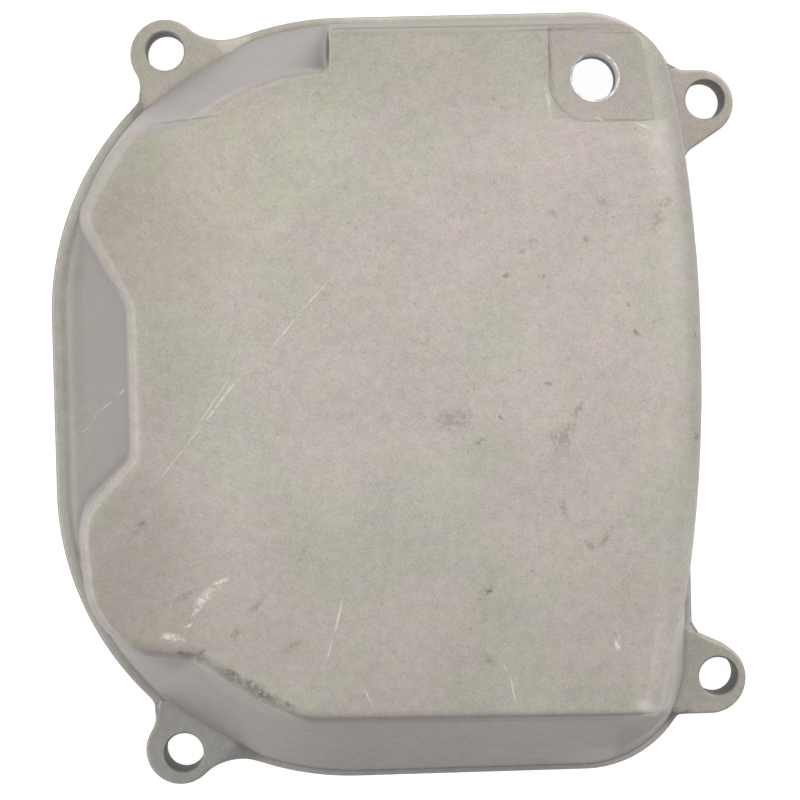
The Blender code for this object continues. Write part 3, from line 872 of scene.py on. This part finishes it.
# ------------------------------------------------------------------ material
class Nodes:
    """Short names for building a shader tree."""

    def __init__(self, name):
        self.mat = bpy.data.materials.new(name)
        self.mat.use_nodes = True
        self.tree = self.mat.node_tree
        self.bsdf = self.tree.nodes["Principled BSDF"]

    def new(self, kind):
        return self.tree.nodes.new(kind)

    def put(self, socket, value):
        if isinstance(value, bpy.types.NodeSocket):
            self.tree.links.new(value, socket)
        else:
            socket.default_value = value

    def math(self, op, a, b=0.0, c=0.0, clamp=False):
        n = self.new("ShaderNodeMath")
        n.operation, n.use_clamp = op, clamp
        for i, v in enumerate((a, b, c)):
            self.put(n.inputs[i], v)
        return n.outputs[0]

    def vec(self, op, a, b=None, scale=None):
        n = self.new("ShaderNodeVectorMath")
        n.operation = op
        self.put(n.inputs[0], a)
        if b is not None:
            self.put(n.inputs[1], b)
        if scale is not None:
            self.put(n.inputs["Scale"], scale)
        return n.outputs["Value" if op in ("LENGTH", "DISTANCE",
                                           "DOT_PRODUCT") else "Vector"]

    def ramp(self, x, a, b, lo=0.0, hi=1.0):
        """Smooth step of x from a to b, giving lo to hi."""
        n = self.new("ShaderNodeMapRange")
        n.interpolation_type = "SMOOTHSTEP"
        for i, v in enumerate((x, a, b, lo, hi)):
            self.put(n.inputs[i], v)
        return n.outputs[0]

    def mix(self, fac, a, b, blend="MIX"):
        n = self.new("ShaderNodeMix")
        n.data_type, n.blend_type = "RGBA", blend
        self.put(n.inputs["Factor"], fac)
        for k, v in ((6, a), (7, b)):
            if isinstance(v, tuple) and len(v) == 3:
                v = v + (1.0,)
            self.put(n.inputs[k], v)
        return n.outputs[2]

    def times(self, colour, tone):
        """A colour times a grey value."""
        comb = self.new("ShaderNodeCombineColor")
        for i in range(3):
            self.put(comb.inputs[i], tone)
        return self.mix(1.0, colour, comb.outputs[0], "MULTIPLY")

    def noise(self, at, scale, detail=2.0, rough=0.5, shift=0.0):
        """Fine noise about 0.5; scale is in periods per millimetre."""
        n = self.new("ShaderNodeTexNoise")
        n.inputs["Scale"].default_value = scale
        n.inputs["Detail"].default_value = detail
        n.inputs["Roughness"].default_value = rough
        if shift:
            at = self.vec("ADD", at, (shift, -shift, 0.7 * shift))
        self.put(n.inputs["Vector"], at)
        return n.outputs["Fac"]

    def ellipse(self, at, a, b, half):
        """Distance from the middle of a long mark from a to b in plan, which
        is 1 on its outline."""
        n = self.new("ShaderNodeMapping")
        n.vector_type = "TEXTURE"
        dx, dy = b[0] - a[0], b[1] - a[1]
        n.inputs["Location"].default_value = (
            (a[0] + b[0]) / 2, (a[1] + b[1]) / 2, 0.0)
        n.inputs["Rotation"].default_value = (0.0, 0.0, math.atan2(dy, dx))
        n.inputs["Scale"].default_value = (
            0.62 * math.hypot(dx, dy) / 2 + half, half, 1.0)
        self.put(n.inputs["Vector"], at)
        return self.vec("LENGTH", n.outputs[0])


def seen(u, v, z=36.0):
    """The point (x, y) at height z that shows at (u, v) of the picture."""
    pos, fwd, right, up = eye()
    d = fwd + right * ((u - 400) / FOCAL) + up * ((400 - v) / FOCAL)
    k = (z - pos[2]) / d[2]
    p = pos + d * k
    return float(p[0]), float(p[1])


FOCAL = 2452.18            # in units of the picture's 800 points


def eye():
    pos = np.array([-10.109, 8.428, 431.4])
    aim = np.array([0.463, -0.54, 7.0])
    turn = -0.0262
    fwd = (aim - pos) / np.linalg.norm(aim - pos)
    right = np.cross(fwd, (0.0, 1.0, 0.0))
    right /= np.linalg.norm(right)
    up = np.cross(right, fwd)
    r = right * math.cos(turn) + up * math.sin(turn)
    u = -right * math.sin(turn) + up * math.cos(turn)
    return pos, fwd, r, u


def cast_aluminium():
    m = Nodes("cast_aluminium")
    tc = m.new("ShaderNodeTexCoord")
    at = m.vec("SCALE", tc.outputs["Object"], scale=1000.0)
    sep = m.new("ShaderNodeSeparateXYZ")
    m.put(sep.inputs[0], at)
    x, y, z = sep.outputs
    sepn = m.new("ShaderNodeSeparateXYZ")
    m.put(sepn.inputs[0], tc.outputs["Normal"])
    nx, ny, nz = sepn.outputs
    flat = m.vec("MULTIPLY", at, (1.0, 1.0, 0.45))

    # unevenness that is used in several places
    grain = m.noise(flat, 2.7, 3.0, 0.6)
    blotch = m.noise(flat, 0.55, 3.0, 0.6, 11.0)
    cloud = m.noise(at, 0.075, 2.0, 0.5, 23.0)
    shift = m.new("ShaderNodeCombineXYZ")
    m.put(shift.inputs[0], m.math("MULTIPLY_ADD", blotch, 2.0, -1.0))
    m.put(shift.inputs[1], m.math("MULTIPLY_ADD", grain, 0.6, -0.3))
    shaky = m.vec("MULTIPLY", m.vec("ADD", at, shift.outputs[0]),
                  (1.0, 1.0, 0.0))
    plan = m.vec("MULTIPLY", at, (1.0, 1.0, 0.0))

    # where: roof, lip and ears, walls, worn rims with a painted highlight
    high = m.ramp(z, 31.0, 34.5)
    up = m.ramp(nz, 0.80, 0.97)
    low = m.ramp(z, 9.0, 7.1)
    lip = m.math("MULTIPLY", low, m.ramp(nz, 0.5, 0.9))
    shoulder = m.math("MULTIPLY", m.ramp(x, 36.0, 40.0), m.ramp(nx, 0.10, 0.35))
    shoulder = m.math("MULTIPLY", shoulder, m.ramp(z, 7.0, 10.0))
    shoulder = m.math("MAXIMUM", shoulder, m.math(
        "MULTIPLY", m.ramp(x, 38.0, 42.0), m.ramp(z, 26.0, 31.0)))
    roof = m.math("MAXIMUM", m.math("MULTIPLY", high, up), shoulder)
    rim = m.math("MULTIPLY", m.ramp(nz, 0.97, 0.87), m.ramp(nz, 0.30, 0.55))
    rim = m.math("MULTIPLY", rim, m.ramp(z, 28.0, 31.5))
    west_rim_wear_and_highlight = m.math("MULTIPLY", rim, m.ramp(nx, -0.12, -0.35))

    # base colours, linear
    col = m.mix(roof, WALL_TONE, ROOF_TONE)

    # painted shade: the roof is greyer towards the bottom and on the left
    # bulges, and towards and along its top edge
    roof_shade = m.math("ADD", m.ramp(y, 2.0, -52.0, 0.0, 0.42),
                  m.ramp(x, -24.0, -49.0, 0.0, 0.62))
    roof_shade = m.math("ADD", roof_shade, m.ramp(y, 40.0, 56.0, 0.0, 0.42))
    roof_shade = m.math("ADD", roof_shade, m.ramp(y, 58.2, 59.4, 0.0, 0.30))
    col = m.mix(m.math("MULTIPLY", roof_shade, roof, clamp=True), col,
                (0.266, 0.252, 0.216))
    # the breather pad
    pad = m.math("MULTIPLY", m.ramp(x, 25.2, 25.8), m.ramp(y, 44.2, 44.8))
    pad = m.math("MULTIPLY", pad, m.math("MULTIPLY", roof,
                                         m.ramp(x, 47.0, 45.0)))
    col = m.mix(m.math("MULTIPLY", pad, 0.5), col, (0.300, 0.280, 0.246))
    # painted shade: the walls darker towards the bottom
    col = m.mix(m.math("MULTIPLY", m.ramp(y, -15.0, -50.0),
                       m.math("SUBTRACT", 1.0, roof), clamp=True), col,
                LOW_WALL_SHADE_TONE)

    # painted highlight along the lower end of the shoulder, painted shade on
    # the lower right corner and on the top wall, and other wall tones set
    # region by region
    # painted highlight on the lower end of the shoulder
    pale = m.math("MULTIPLY", m.ramp(nx, 0.02, 0.14), m.ramp(y, -14.0, -42.0))
    pale = m.math("MULTIPLY", pale, m.ramp(nx, 0.97, 0.80))
    pale = m.math("MULTIPLY", pale, m.ramp(z, 8.0, 13.0))
    col = m.mix(m.math("MULTIPLY", pale, m.ramp(ny, -0.55, -0.25)), col,
                (0.392, 0.356, 0.335))
    # painted shade on the wall at the lower right corner
    corner = m.math("MULTIPLY", m.ramp(nx, 0.12, 0.35), m.ramp(nx, 0.85, 0.6))
    corner = m.math("MULTIPLY", corner, m.ramp(ny, -0.35, -0.55))
    corner = m.math("MULTIPLY", corner, m.ramp(z, 8.0, 13.0))
    col = m.mix(m.math("MULTIPLY", corner, m.ramp(y, -48.0, -51.0)), col,
                (0.212, 0.198, 0.190))
    near = m.math("MULTIPLY", m.ramp(x, 24.0, 36.0), m.ramp(z, 18.0, 10.0))
    near = m.math("MULTIPLY", near, m.ramp(ny, -0.55, -0.80))
    col = m.mix(m.math("MULTIPLY", near, m.ramp(nx, 0.35, 0.15)), col,
                (0.318, 0.298, 0.286))
    steep = m.math("MULTIPLY", m.ramp(nx, 0.50, 0.85), m.ramp(y, -30.0, -5.0))
    col = m.mix(m.math("MULTIPLY", steep, m.ramp(z, 12.0, 20.0)), col,
                (0.300, 0.278, 0.256))
    for (xa, xb), (ya, yb), tone in (((-22.0, -36.0), (36.0, 44.0),
                                      (0.328, 0.305, 0.294)),
                                     ((-18.0, -34.0), (-38.0, -46.0),
                                      (0.302, 0.281, 0.268))):
        part = m.math("MULTIPLY", m.ramp(x, xa, xb), m.ramp(y, ya, yb))
        part = m.math("MULTIPLY", part, m.math("SUBTRACT", 1.0, roof))
        col = m.mix(part, col, tone)
    # painted shade on the top wall, right of the step
    top = m.math("MULTIPLY", m.ramp(ny, 0.45, 0.8), m.ramp(y, 52.0, 58.0))
    col = m.mix(m.math("MULTIPLY", top, m.ramp(x, -14.0, -8.0)), col,
                (0.246, 0.229, 0.196))

    # lip and ears, a tone for each side and each ear, as painted light and
    # shade
    right = m.ramp(x, -30.0, 40.0)
    upper = m.ramp(y, -48.0, 48.0)
    ears = m.mix(upper, m.mix(right, EAR_LIGHT_AND_SHADE_TONES[0], EAR_LIGHT_AND_SHADE_TONES[1]),
                 m.mix(right, EAR_LIGHT_AND_SHADE_TONES[2], EAR_LIGHT_AND_SHADE_TONES[3]))
    head = m.mix(m.ramp(x, -17.0, -3.0), LIP_LIGHT_AND_SHADE_TONES[3], LIP_LIGHT_AND_SHADE_TONES[1])
    thin = m.mix(m.ramp(x, -57.0, -44.0), LIP_LIGHT_AND_SHADE_TONES[2],
                 m.mix(upper, LIP_LIGHT_AND_SHADE_TONES[0], head))
    raised = m.ramp(z, 4.6, 6.2)
    col = m.mix(lip, col, m.mix(raised, thin, ears))
    edge = m.math("MULTIPLY", m.ramp(z, 7.2, 6.9), m.ramp(nz, 0.5, 0.1))
    col = m.mix(edge, col, ears)

    # a little dirt and painted shade where the walls meet the lip, and painted
    # shade low on the left wall
    # dirt and painted shade in the crease at the foot of the walls
    foot = m.math("MULTIPLY", m.ramp(z, 5.2, 4.2), m.ramp(nz, 0.97, 0.8))
    ends = m.math("ADD", m.ramp(y, -50.0, -58.0), m.ramp(y, 48.0, 57.0))
    foot = m.math("MULTIPLY", foot, m.math("MULTIPLY_ADD", ends, -0.25, 0.35))
    col = m.mix(foot, col, (0.13, 0.125, 0.11))
    # painted shade on the fillet low on the left wall
    fillet_shade = m.math("MULTIPLY", m.ramp(x, -52.0, -54.5), m.ramp(z, 11.0, 6.5))
    fillet_shade = m.math("MULTIPLY", fillet_shade, m.ramp(nz, 0.93, 0.80))
    col = m.mix(m.math("MULTIPLY", fillet_shade, m.ramp(z, 3.6, 4.4, 0.0, 0.22)),
                col, (0.170, 0.162, 0.148))

    # worn rims along the bulges and the scoop, with a painted highlight on
    # their left-facing rounding
    col = m.mix(m.math("MULTIPLY", west_rim_wear_and_highlight, m.ramp(blotch, 0.2, 0.6, 0.4, 0.8)),
                col, (0.400, 0.372, 0.336))

    # mottling in tone
    fine = m.math("ADD", m.ramp(y, -50.0, -56.0, 0.42, 1.0),
                  m.math("MULTIPLY", m.math("MAXIMUM", roof, lip), 0.58),
                  clamp=True)
    tone = m.math("ADD", m.ramp(blotch, 0.25, 0.75, -0.055, 0.055),
                  m.ramp(cloud, 0.3, 0.7, -0.035, 0.035))
    tone = m.math("ADD", tone, m.ramp(grain, 0.25, 0.75, -0.085, 0.085))
    tone = m.math("ADD", 1.0, m.math("MULTIPLY", tone, fine))
    col = m.times(col, tone)

    # patches of faint pink, green and blue
    for scale, drift, lo, hi in ((0.045, 51.0, (0.970, 1.005, 0.955),
                                  (1.025, 0.990, 1.005)),
                                 (0.19, 83.0, (0.993, 1.004, 0.974),
                                  (1.008, 0.995, 1.022))):
        n = m.noise(at, scale, 1.0, 0.55, drift)
        tint = m.mix(m.ramp(n, 0.34, 0.66), lo, hi)
        col = m.mix(m.ramp(roof, 0.0, 1.0, 0.45, 1.0), col,
                    m.mix(1.0, col, tint, "MULTIPLY"))

    # a little more yellow on the upper left, bluer towards the right
    warm = m.math("MULTIPLY", m.ramp(x, 0.0, -34.0), m.ramp(y, 0.0, 30.0))
    col = m.mix(m.math("MULTIPLY", warm, roof), col, m.mix(
        1.0, col, (0.972, 0.992, 0.935), "MULTIPLY"))

    # small dark and light specks
    speck = m.noise(flat, 1.3, 1.0, 0.75, 97.0)
    col = m.mix(m.math("MULTIPLY", m.ramp(speck, 0.66, 0.76, 0.0, 0.28), roof),
                col, (0.16, 0.15, 0.135))
    col = m.mix(m.math("MULTIPLY", m.ramp(speck, 0.31, 0.22, 0.0, 0.24), roof),
                col, (0.56, 0.53, 0.49))

    def paint(col, rows, colour, strength, where, broken=None, soft=1.7):
        best = None
        for (u0, v0, u1, v1), h, half in rows:
            d = m.ellipse(where, seen(u0, v0, h), seen(u1, v1, h), half)
            best = d if best is None else m.math("MINIMUM", best, d)
        fac = m.ramp(best, soft, 0.4, 0.0, strength)
        if broken is not None:
            fac = m.math("MULTIPLY", fac, broken)
        return m.mix(fac, col, colour)

    patchy = m.ramp(m.noise(at, 1.5, 1.0, 0.6, 5.0), 0.34, 0.60, 0.15, 1.0)
    worn = m.ramp(blotch, 0.36, 0.54, 0.25, 1.0)
    col = paint(col, NOTCH, (0.300, 0.292, 0.300), 0.8, plan, None, 1.15)
    col = paint(col, SMEARS, (0.50, 0.485, 0.45), 0.30, shaky, patchy, 1.5)
    # painted highlight on the lower right corner of the roof
    col = paint(col, CORNER_HIGHLIGHT, (0.520, 0.480, 0.450), 0.62, shaky, None, 1.9)
    col = paint(col, STAINS, (0.160, 0.152, 0.122), 0.46, shaky, patchy, 2.2)
    col = paint(col, PITS, (0.100, 0.095, 0.082), 0.62, shaky, patchy, 2.0)
    # painted shadow lines along the roof edges, the pad edges and the scoop's
    # edge
    col = paint(col, SHADOW_LINES, (0.135, 0.127, 0.112), 0.50, plan,
                m.math("MULTIPLY", worn, m.ramp(z, 25.0, 29.0)), 2.6)
    col = paint(col, CHIPS, (0.195, 0.180, 0.173), 0.36, shaky,
                m.ramp(patchy, 0.15, 0.8, 0.6, 1.0), 2.4)
    # painted shadow down the step at the roof's top edge
    col = paint(col, STEP_SHADOW, (0.060, 0.056, 0.050), 0.85, plan, None, 1.8)
    col = paint(col, SCRATCHES, (0.60, 0.585, 0.51), 0.60, plan, worn, 2.2)
    col = paint(col, SCUFFS, (0.66, 0.645, 0.60), 0.62, shaky, patchy, 2.4)

    # painted shade inside the bolt holes and deep in the breather bore, and the
    # turned edge of the breather bore
    best = None
    for hx, hy in (LEFT_HOLE, RIGHT_HOLE, (LEFT_HOLE[0], -LEFT_HOLE[1]),
                   (RIGHT_HOLE[0], -RIGHT_HOLE[1])):
        d = m.vec("DISTANCE", plan, (hx, hy, 0.0))
        best = d if best is None else m.math("MINIMUM", best, d)
    hole = m.math("MULTIPLY", m.math("LESS_THAN", best, HOLE_R + 0.08),
                  m.math("LESS_THAN", nz, 0.5))
    col = m.mix(hole, col, HOLE_SHADE_TONE)
    d = m.vec("DISTANCE", plan, (BORE[0], BORE[1], 0.0))
    bore = m.math("LESS_THAN", d, BORE_R + 0.06)
    # painted shade deep in the bore, lighter near its top
    col = m.mix(bore, col, m.mix(m.ramp(z, 32.2, 32.8), (0.13, 0.13, 0.12),
                                 (0.50, 0.50, 0.49)))
    turned_edge = m.math("MULTIPLY", m.math("GREATER_THAN", d, BORE_R + 0.02),
                         m.math("LESS_THAN", d, BORE_R + 0.45))
    turned_edge = m.math("MULTIPLY", turned_edge,
                         m.math("LESS_THAN", nz, 0.93))
    turned_edge = m.math("MULTIPLY", turned_edge,
                         m.math("GREATER_THAN", z, 34.0))
    col = m.mix(turned_edge, col, m.mix(m.ramp(blotch, 0.4, 0.55),
                                        (0.80, 0.80, 0.79),
                                        (0.50, 0.50, 0.48)))

    m.put(m.bsdf.inputs["Base Color"], col)
    m.bsdf.inputs["Metallic"].default_value = 0.35
    m.bsdf.inputs["Roughness"].default_value = 0.62

    # blasted grain
    bump_h = m.math("ADD", m.math("MULTIPLY", grain, 0.6),
                    m.math("MULTIPLY", blotch, 0.7))
    bump_h = m.math("MULTIPLY", bump_h, fine)
    bump = m.new("ShaderNodeBump")
    bump.inputs["Strength"].default_value = 0.45
    bump.inputs["Distance"].default_value = 0.0001
    m.put(bump.inputs["Height"], bump_h)
    m.put(m.bsdf.inputs["Normal"], bump.outputs[0])
    return m.mat


# colours of the casting, linear, some of them with painted light and shade
ROOF_TONE = (0.390, 0.358, 0.329)
WALL_TONE = (0.290, 0.269, 0.260)
# painted shade on the walls towards the bottom
LOW_WALL_SHADE_TONE = (0.252, 0.236, 0.226)
# painted light and shade on the ears and the lip, one tone for each ear and
# side
EAR_LIGHT_AND_SHADE_TONES = ((0.332, 0.324, 0.305), (0.326, 0.312, 0.270),
             (0.302, 0.284, 0.243), (0.365, 0.332, 0.296))
LIP_LIGHT_AND_SHADE_TONES = ((0.355, 0.338, 0.318), (0.440, 0.418, 0.380),
             (0.455, 0.443, 0.402), (0.325, 0.308, 0.272))
# painted shade inside the bolt holes
HOLE_SHADE_TONE = (0.105, 0.100, 0.086)

# marks: picture points from and to, height of the surface, half width in mm
SCRATCHES = [
    ((330, 280, 300, 312), 36, 0.10), ((296, 318, 270, 350), 36, 0.08),
    ((238, 378, 205, 422), 36, 0.17), ((205, 422, 160, 479), 36, 0.09),
    ((230, 378, 196, 428), 36, 0.08),
    ((343, 600, 334, 634), 36, 0.13), ((332, 640, 327, 660), 36, 0.08),
    ((365, 690, 372, 705), 36, 0.10), ((510, 675, 516, 705), 36, 0.08),
    ((503, 664, 508, 672), 36, 0.06), ((617, 628, 620, 640), 36, 0.08),
    ((124, 389, 116, 396), 18, 0.09), ((114, 400, 98, 411), 13, 0.07),
    ((96, 413, 91, 424), 10, 0.06), ((89, 427, 81, 433), 8, 0.05),
    ((545, 84, 546, 96), 36, 0.12), ((548, 98, 550, 110), 36, 0.15),
    ((634, 122, 650, 128), 36, 0.10), ((596, 117, 606, 122), 36, 0.08),
]
SCUFFS = [
    ((215, 584, 226, 579), 36, 0.24), ((201, 604, 209, 592), 36, 0.50),
    ((212, 591, 220, 587), 36, 0.16), ((192, 616, 199, 609), 36, 0.16),
    ((187, 627, 190, 624), 36, 0.14), ((165, 636, 179, 639), 36, 0.37),
    ((616, 641, 618, 648), 36, 0.26),
]
NOTCH = [((591, 28, 591, 50), 36, 1.0)]
SMEARS = [
    ((262, 234, 290, 222), 36, 1.4), ((276, 226, 284, 214), 36, 0.7),
    ((640, 128, 662, 150), 36, 1.2), ((545, 84, 552, 120), 36, 0.5),
]
STAINS = [
    ((655, 228, 660, 206), 36, 0.65), ((663, 206, 670, 200), 36, 0.5),
    ((598, 198, 606, 204), 36, 0.4), ((550, 212, 556, 216), 36, 0.3),
    ((560, 448, 568, 428), 36, 0.9), ((576, 415, 582, 405), 36, 0.45),
    ((446, 420, 462, 420), 36, 1.2), ((553, 436, 566, 440), 36, 0.8),
    ((476, 443, 482, 440), 36, 0.35), ((600, 544, 616, 526), 36, 0.5),
    ((586, 542, 592, 548), 36, 0.4), ((484, 592, 490, 588), 36, 0.4),
    ((134, 534, 143, 523), 36, 0.5), ((486, 654, 490, 664), 36, 0.5),
    ((562, 502, 566, 516), 36, 0.4),
    ((250, 612, 264, 598), 36, 0.35), ((232, 640, 238, 628), 36, 0.35),
    ((300, 560, 306, 548), 36, 0.35), ((176, 602, 196, 590), 36, 0.35),
    ((286, 650, 296, 644), 36, 0.5), ((184, 653, 204, 659), 35, 0.7),
    ((226, 672, 240, 682), 35, 0.8), ((248, 684, 272, 703), 35, 1.0),
]
PITS = [
    ((142, 523, 144, 522), 36, 0.22), ((584, 240, 587, 237), 36, 0.30),
    ((539, 277, 543, 276), 36, 0.28), ((505, 276, 508, 275), 36, 0.26),
    ((521, 252, 523, 250), 36, 0.22), ((530, 241, 534, 241), 36, 0.20),
    ((604, 213, 607, 213), 36, 0.20), ((627, 304, 630, 306), 36, 0.2),
    ((636, 331, 638, 334), 36, 0.25), ((546, 383, 549, 384), 36, 0.25),
    ((478, 443, 481, 439), 36, 0.20), ((500, 416, 503, 419), 36, 0.16),
    ((695, 332, 697, 338), 33, 0.20), ((697, 432, 697, 440), 33, 0.22),
    ((486, 593, 489, 591), 36, 0.25), ((532, 570, 534, 574), 36, 0.2),
    # ragged pits along the lower left edge of the roof
    ((178, 652, 188, 653), 35, 0.28), ((198, 653, 204, 650), 35, 0.28),
    ((228, 671, 238, 676), 35, 0.40), ((248, 682, 257, 686), 35, 0.56),
    ((260, 692, 270, 697), 35, 0.46), ((286, 702, 292, 705), 35, 0.32),
]
# painted shadow lines at edges and steps
SHADOW_LINES = [
    # bottom edge of the roof, and where it turns the corner
    ((300, 723, 640, 719), 34.2, 0.16), ((640, 716, 661, 724), 35.0, 0.16),
    ((672, 684, 666, 724), 30.0, 0.16),
    # top edge beside the breather pad
    ((508, 31, 598, 28), 35.6, 0.14), ((598, 33, 641, 33), 35.2, 0.07),
    # pad edges
    ((549, 40, 551, 76), 36, 0.10), ((588, 120, 656, 119), 36, 0.10),
    ((551, 76, 556, 92), 36, 0.05),
    # the step and the scoop's edge below the upper bulge
    ((84, 236, 102, 271), 30, 0.17), ((102, 271, 120, 291), 32, 0.17),
    ((152, 125, 214, 118), 33, 0.14),
]
# painted shadow down the step at the roof's top edge
STEP_SHADOW = [((327, 26, 328, 68), 35, 0.26)]
# painted highlight on the lower right corner of the roof
CORNER_HIGHLIGHT = [((640, 704, 656, 714), 36, 1.0), ((654, 713, 663, 721), 35, 0.6)]
CHIPS = [
    # worn away along the lower left edge of the roof
    ((184, 652, 204, 657), 35, 0.50), ((218, 669, 229, 676), 35, 0.48),
    ((230, 677, 243, 684), 35, 0.58), ((247, 686, 261, 693), 35, 0.66),
    ((263, 695, 277, 702), 35, 0.56), ((281, 704, 295, 709), 35, 0.42),
]


# --------------------------------------------------------- floor, light, view
def floor():
    r, n = 3.0, 48
    ring = [(r * 1000 * math.cos(2 * math.pi * i / n),
             r * 1000 * math.sin(2 * math.pi * i / n)) for i in range(n)]
    mesh = bpy.data.meshes.new("Floor")
    mesh.from_pydata([(a * MM, b * MM, 0.0) for a, b in ring], [],
                     [tuple(range(n))])
    obj = bpy.data.objects.new("Floor", mesh)
    bpy.context.scene.collection.objects.link(obj)
    m = Nodes("pale_floor")
    m.bsdf.inputs["Base Color"].default_value = (0.25, 0.25, 0.25, 1.0)
    m.bsdf.inputs["Roughness"].default_value = 0.9
    m.bsdf.inputs["Specular IOR Level"].default_value = 0.0
    # lit from below like a photographer's table
    m.bsdf.inputs["Emission Color"].default_value = (1.0, 1.0, 1.0, 1.0)
    m.bsdf.inputs["Emission Strength"].default_value = 0.95
    mesh.materials.append(m.mat)
    return obj


def area(name, place, aim, size, power, colour=(1.0, 1.0, 1.0)):
    data = bpy.data.lights.new(name, "AREA")
    data.shape = "RECTANGLE"
    data.size, data.size_y = size
    data.energy = power
    data.color = colour
    obj = bpy.data.objects.new(name, data)
    bpy.context.scene.collection.objects.link(obj)
    place, aim = Vector(place), Vector(aim)
    obj.matrix_world = Matrix.Translation(place) \
        @ (aim - place).to_track_quat("-Z", "Y").to_matrix().to_4x4()
    return obj


def light():
    world = bpy.data.worlds.new("World")
    bpy.context.scene.world = world
    world.use_nodes = True
    back = world.node_tree.nodes["Background"]
    back.inputs[0].default_value = (1.0, 0.985, 0.97, 1.0)
    back.inputs[1].default_value = 0.35
    area("Top", (0.05, 0.05, 1.5), (0, 0, 0.02), (1.4, 1.4), 3.2)
    area("Back", (-0.1, 0.8, 1.3), (0, 0, 0.02), (1.2, 0.9), 1.6)
    area("Left", (-1.2, 0.0, 0.8), (0, 0, 0.02), (1.2, 0.7), 13.0)
    area("Key", (0.9, 0.9, 0.9), (0, 0, 0.02), (1.0, 0.7), 24.0)
    area("Fill", (-0.9, -0.9, 0.9), (0, 0, 0.02), (1.0, 0.7), 1.6)


def camera():
    pos, fwd, r, u = eye()
    data = bpy.data.cameras.new("Camera")
    data.sensor_width = 36.0
    data.lens = FOCAL / 800 * 36.0
    data.clip_start, data.clip_end = 0.01, 20.0
    obj = bpy.data.objects.new("Camera", data)
    bpy.context.scene.collection.objects.link(obj)
    rot = Matrix((r, u, -fwd)).transposed()
    obj.matrix_world = Matrix.Translation(Vector(pos * MM)) @ rot.to_4x4()
    bpy.context.scene.camera = obj


cover = head_cover()
cover.name = "Cylinder_head_cover"
cover.data.shade_smooth()
cover.data.set_sharp_from_angle(angle=math.radians(27))
weigh = cover.modifiers.new("weigh", "WEIGHTED_NORMAL")
weigh.keep_sharp = True
weigh.weight = 50
cover.data.materials.clear()
cover.data.materials.append(cast_aluminium())
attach(cover, "root")
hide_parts("head_cover")
floor()
light()
camera()
bpy.context.scene.view_settings.view_transform = "Standard"
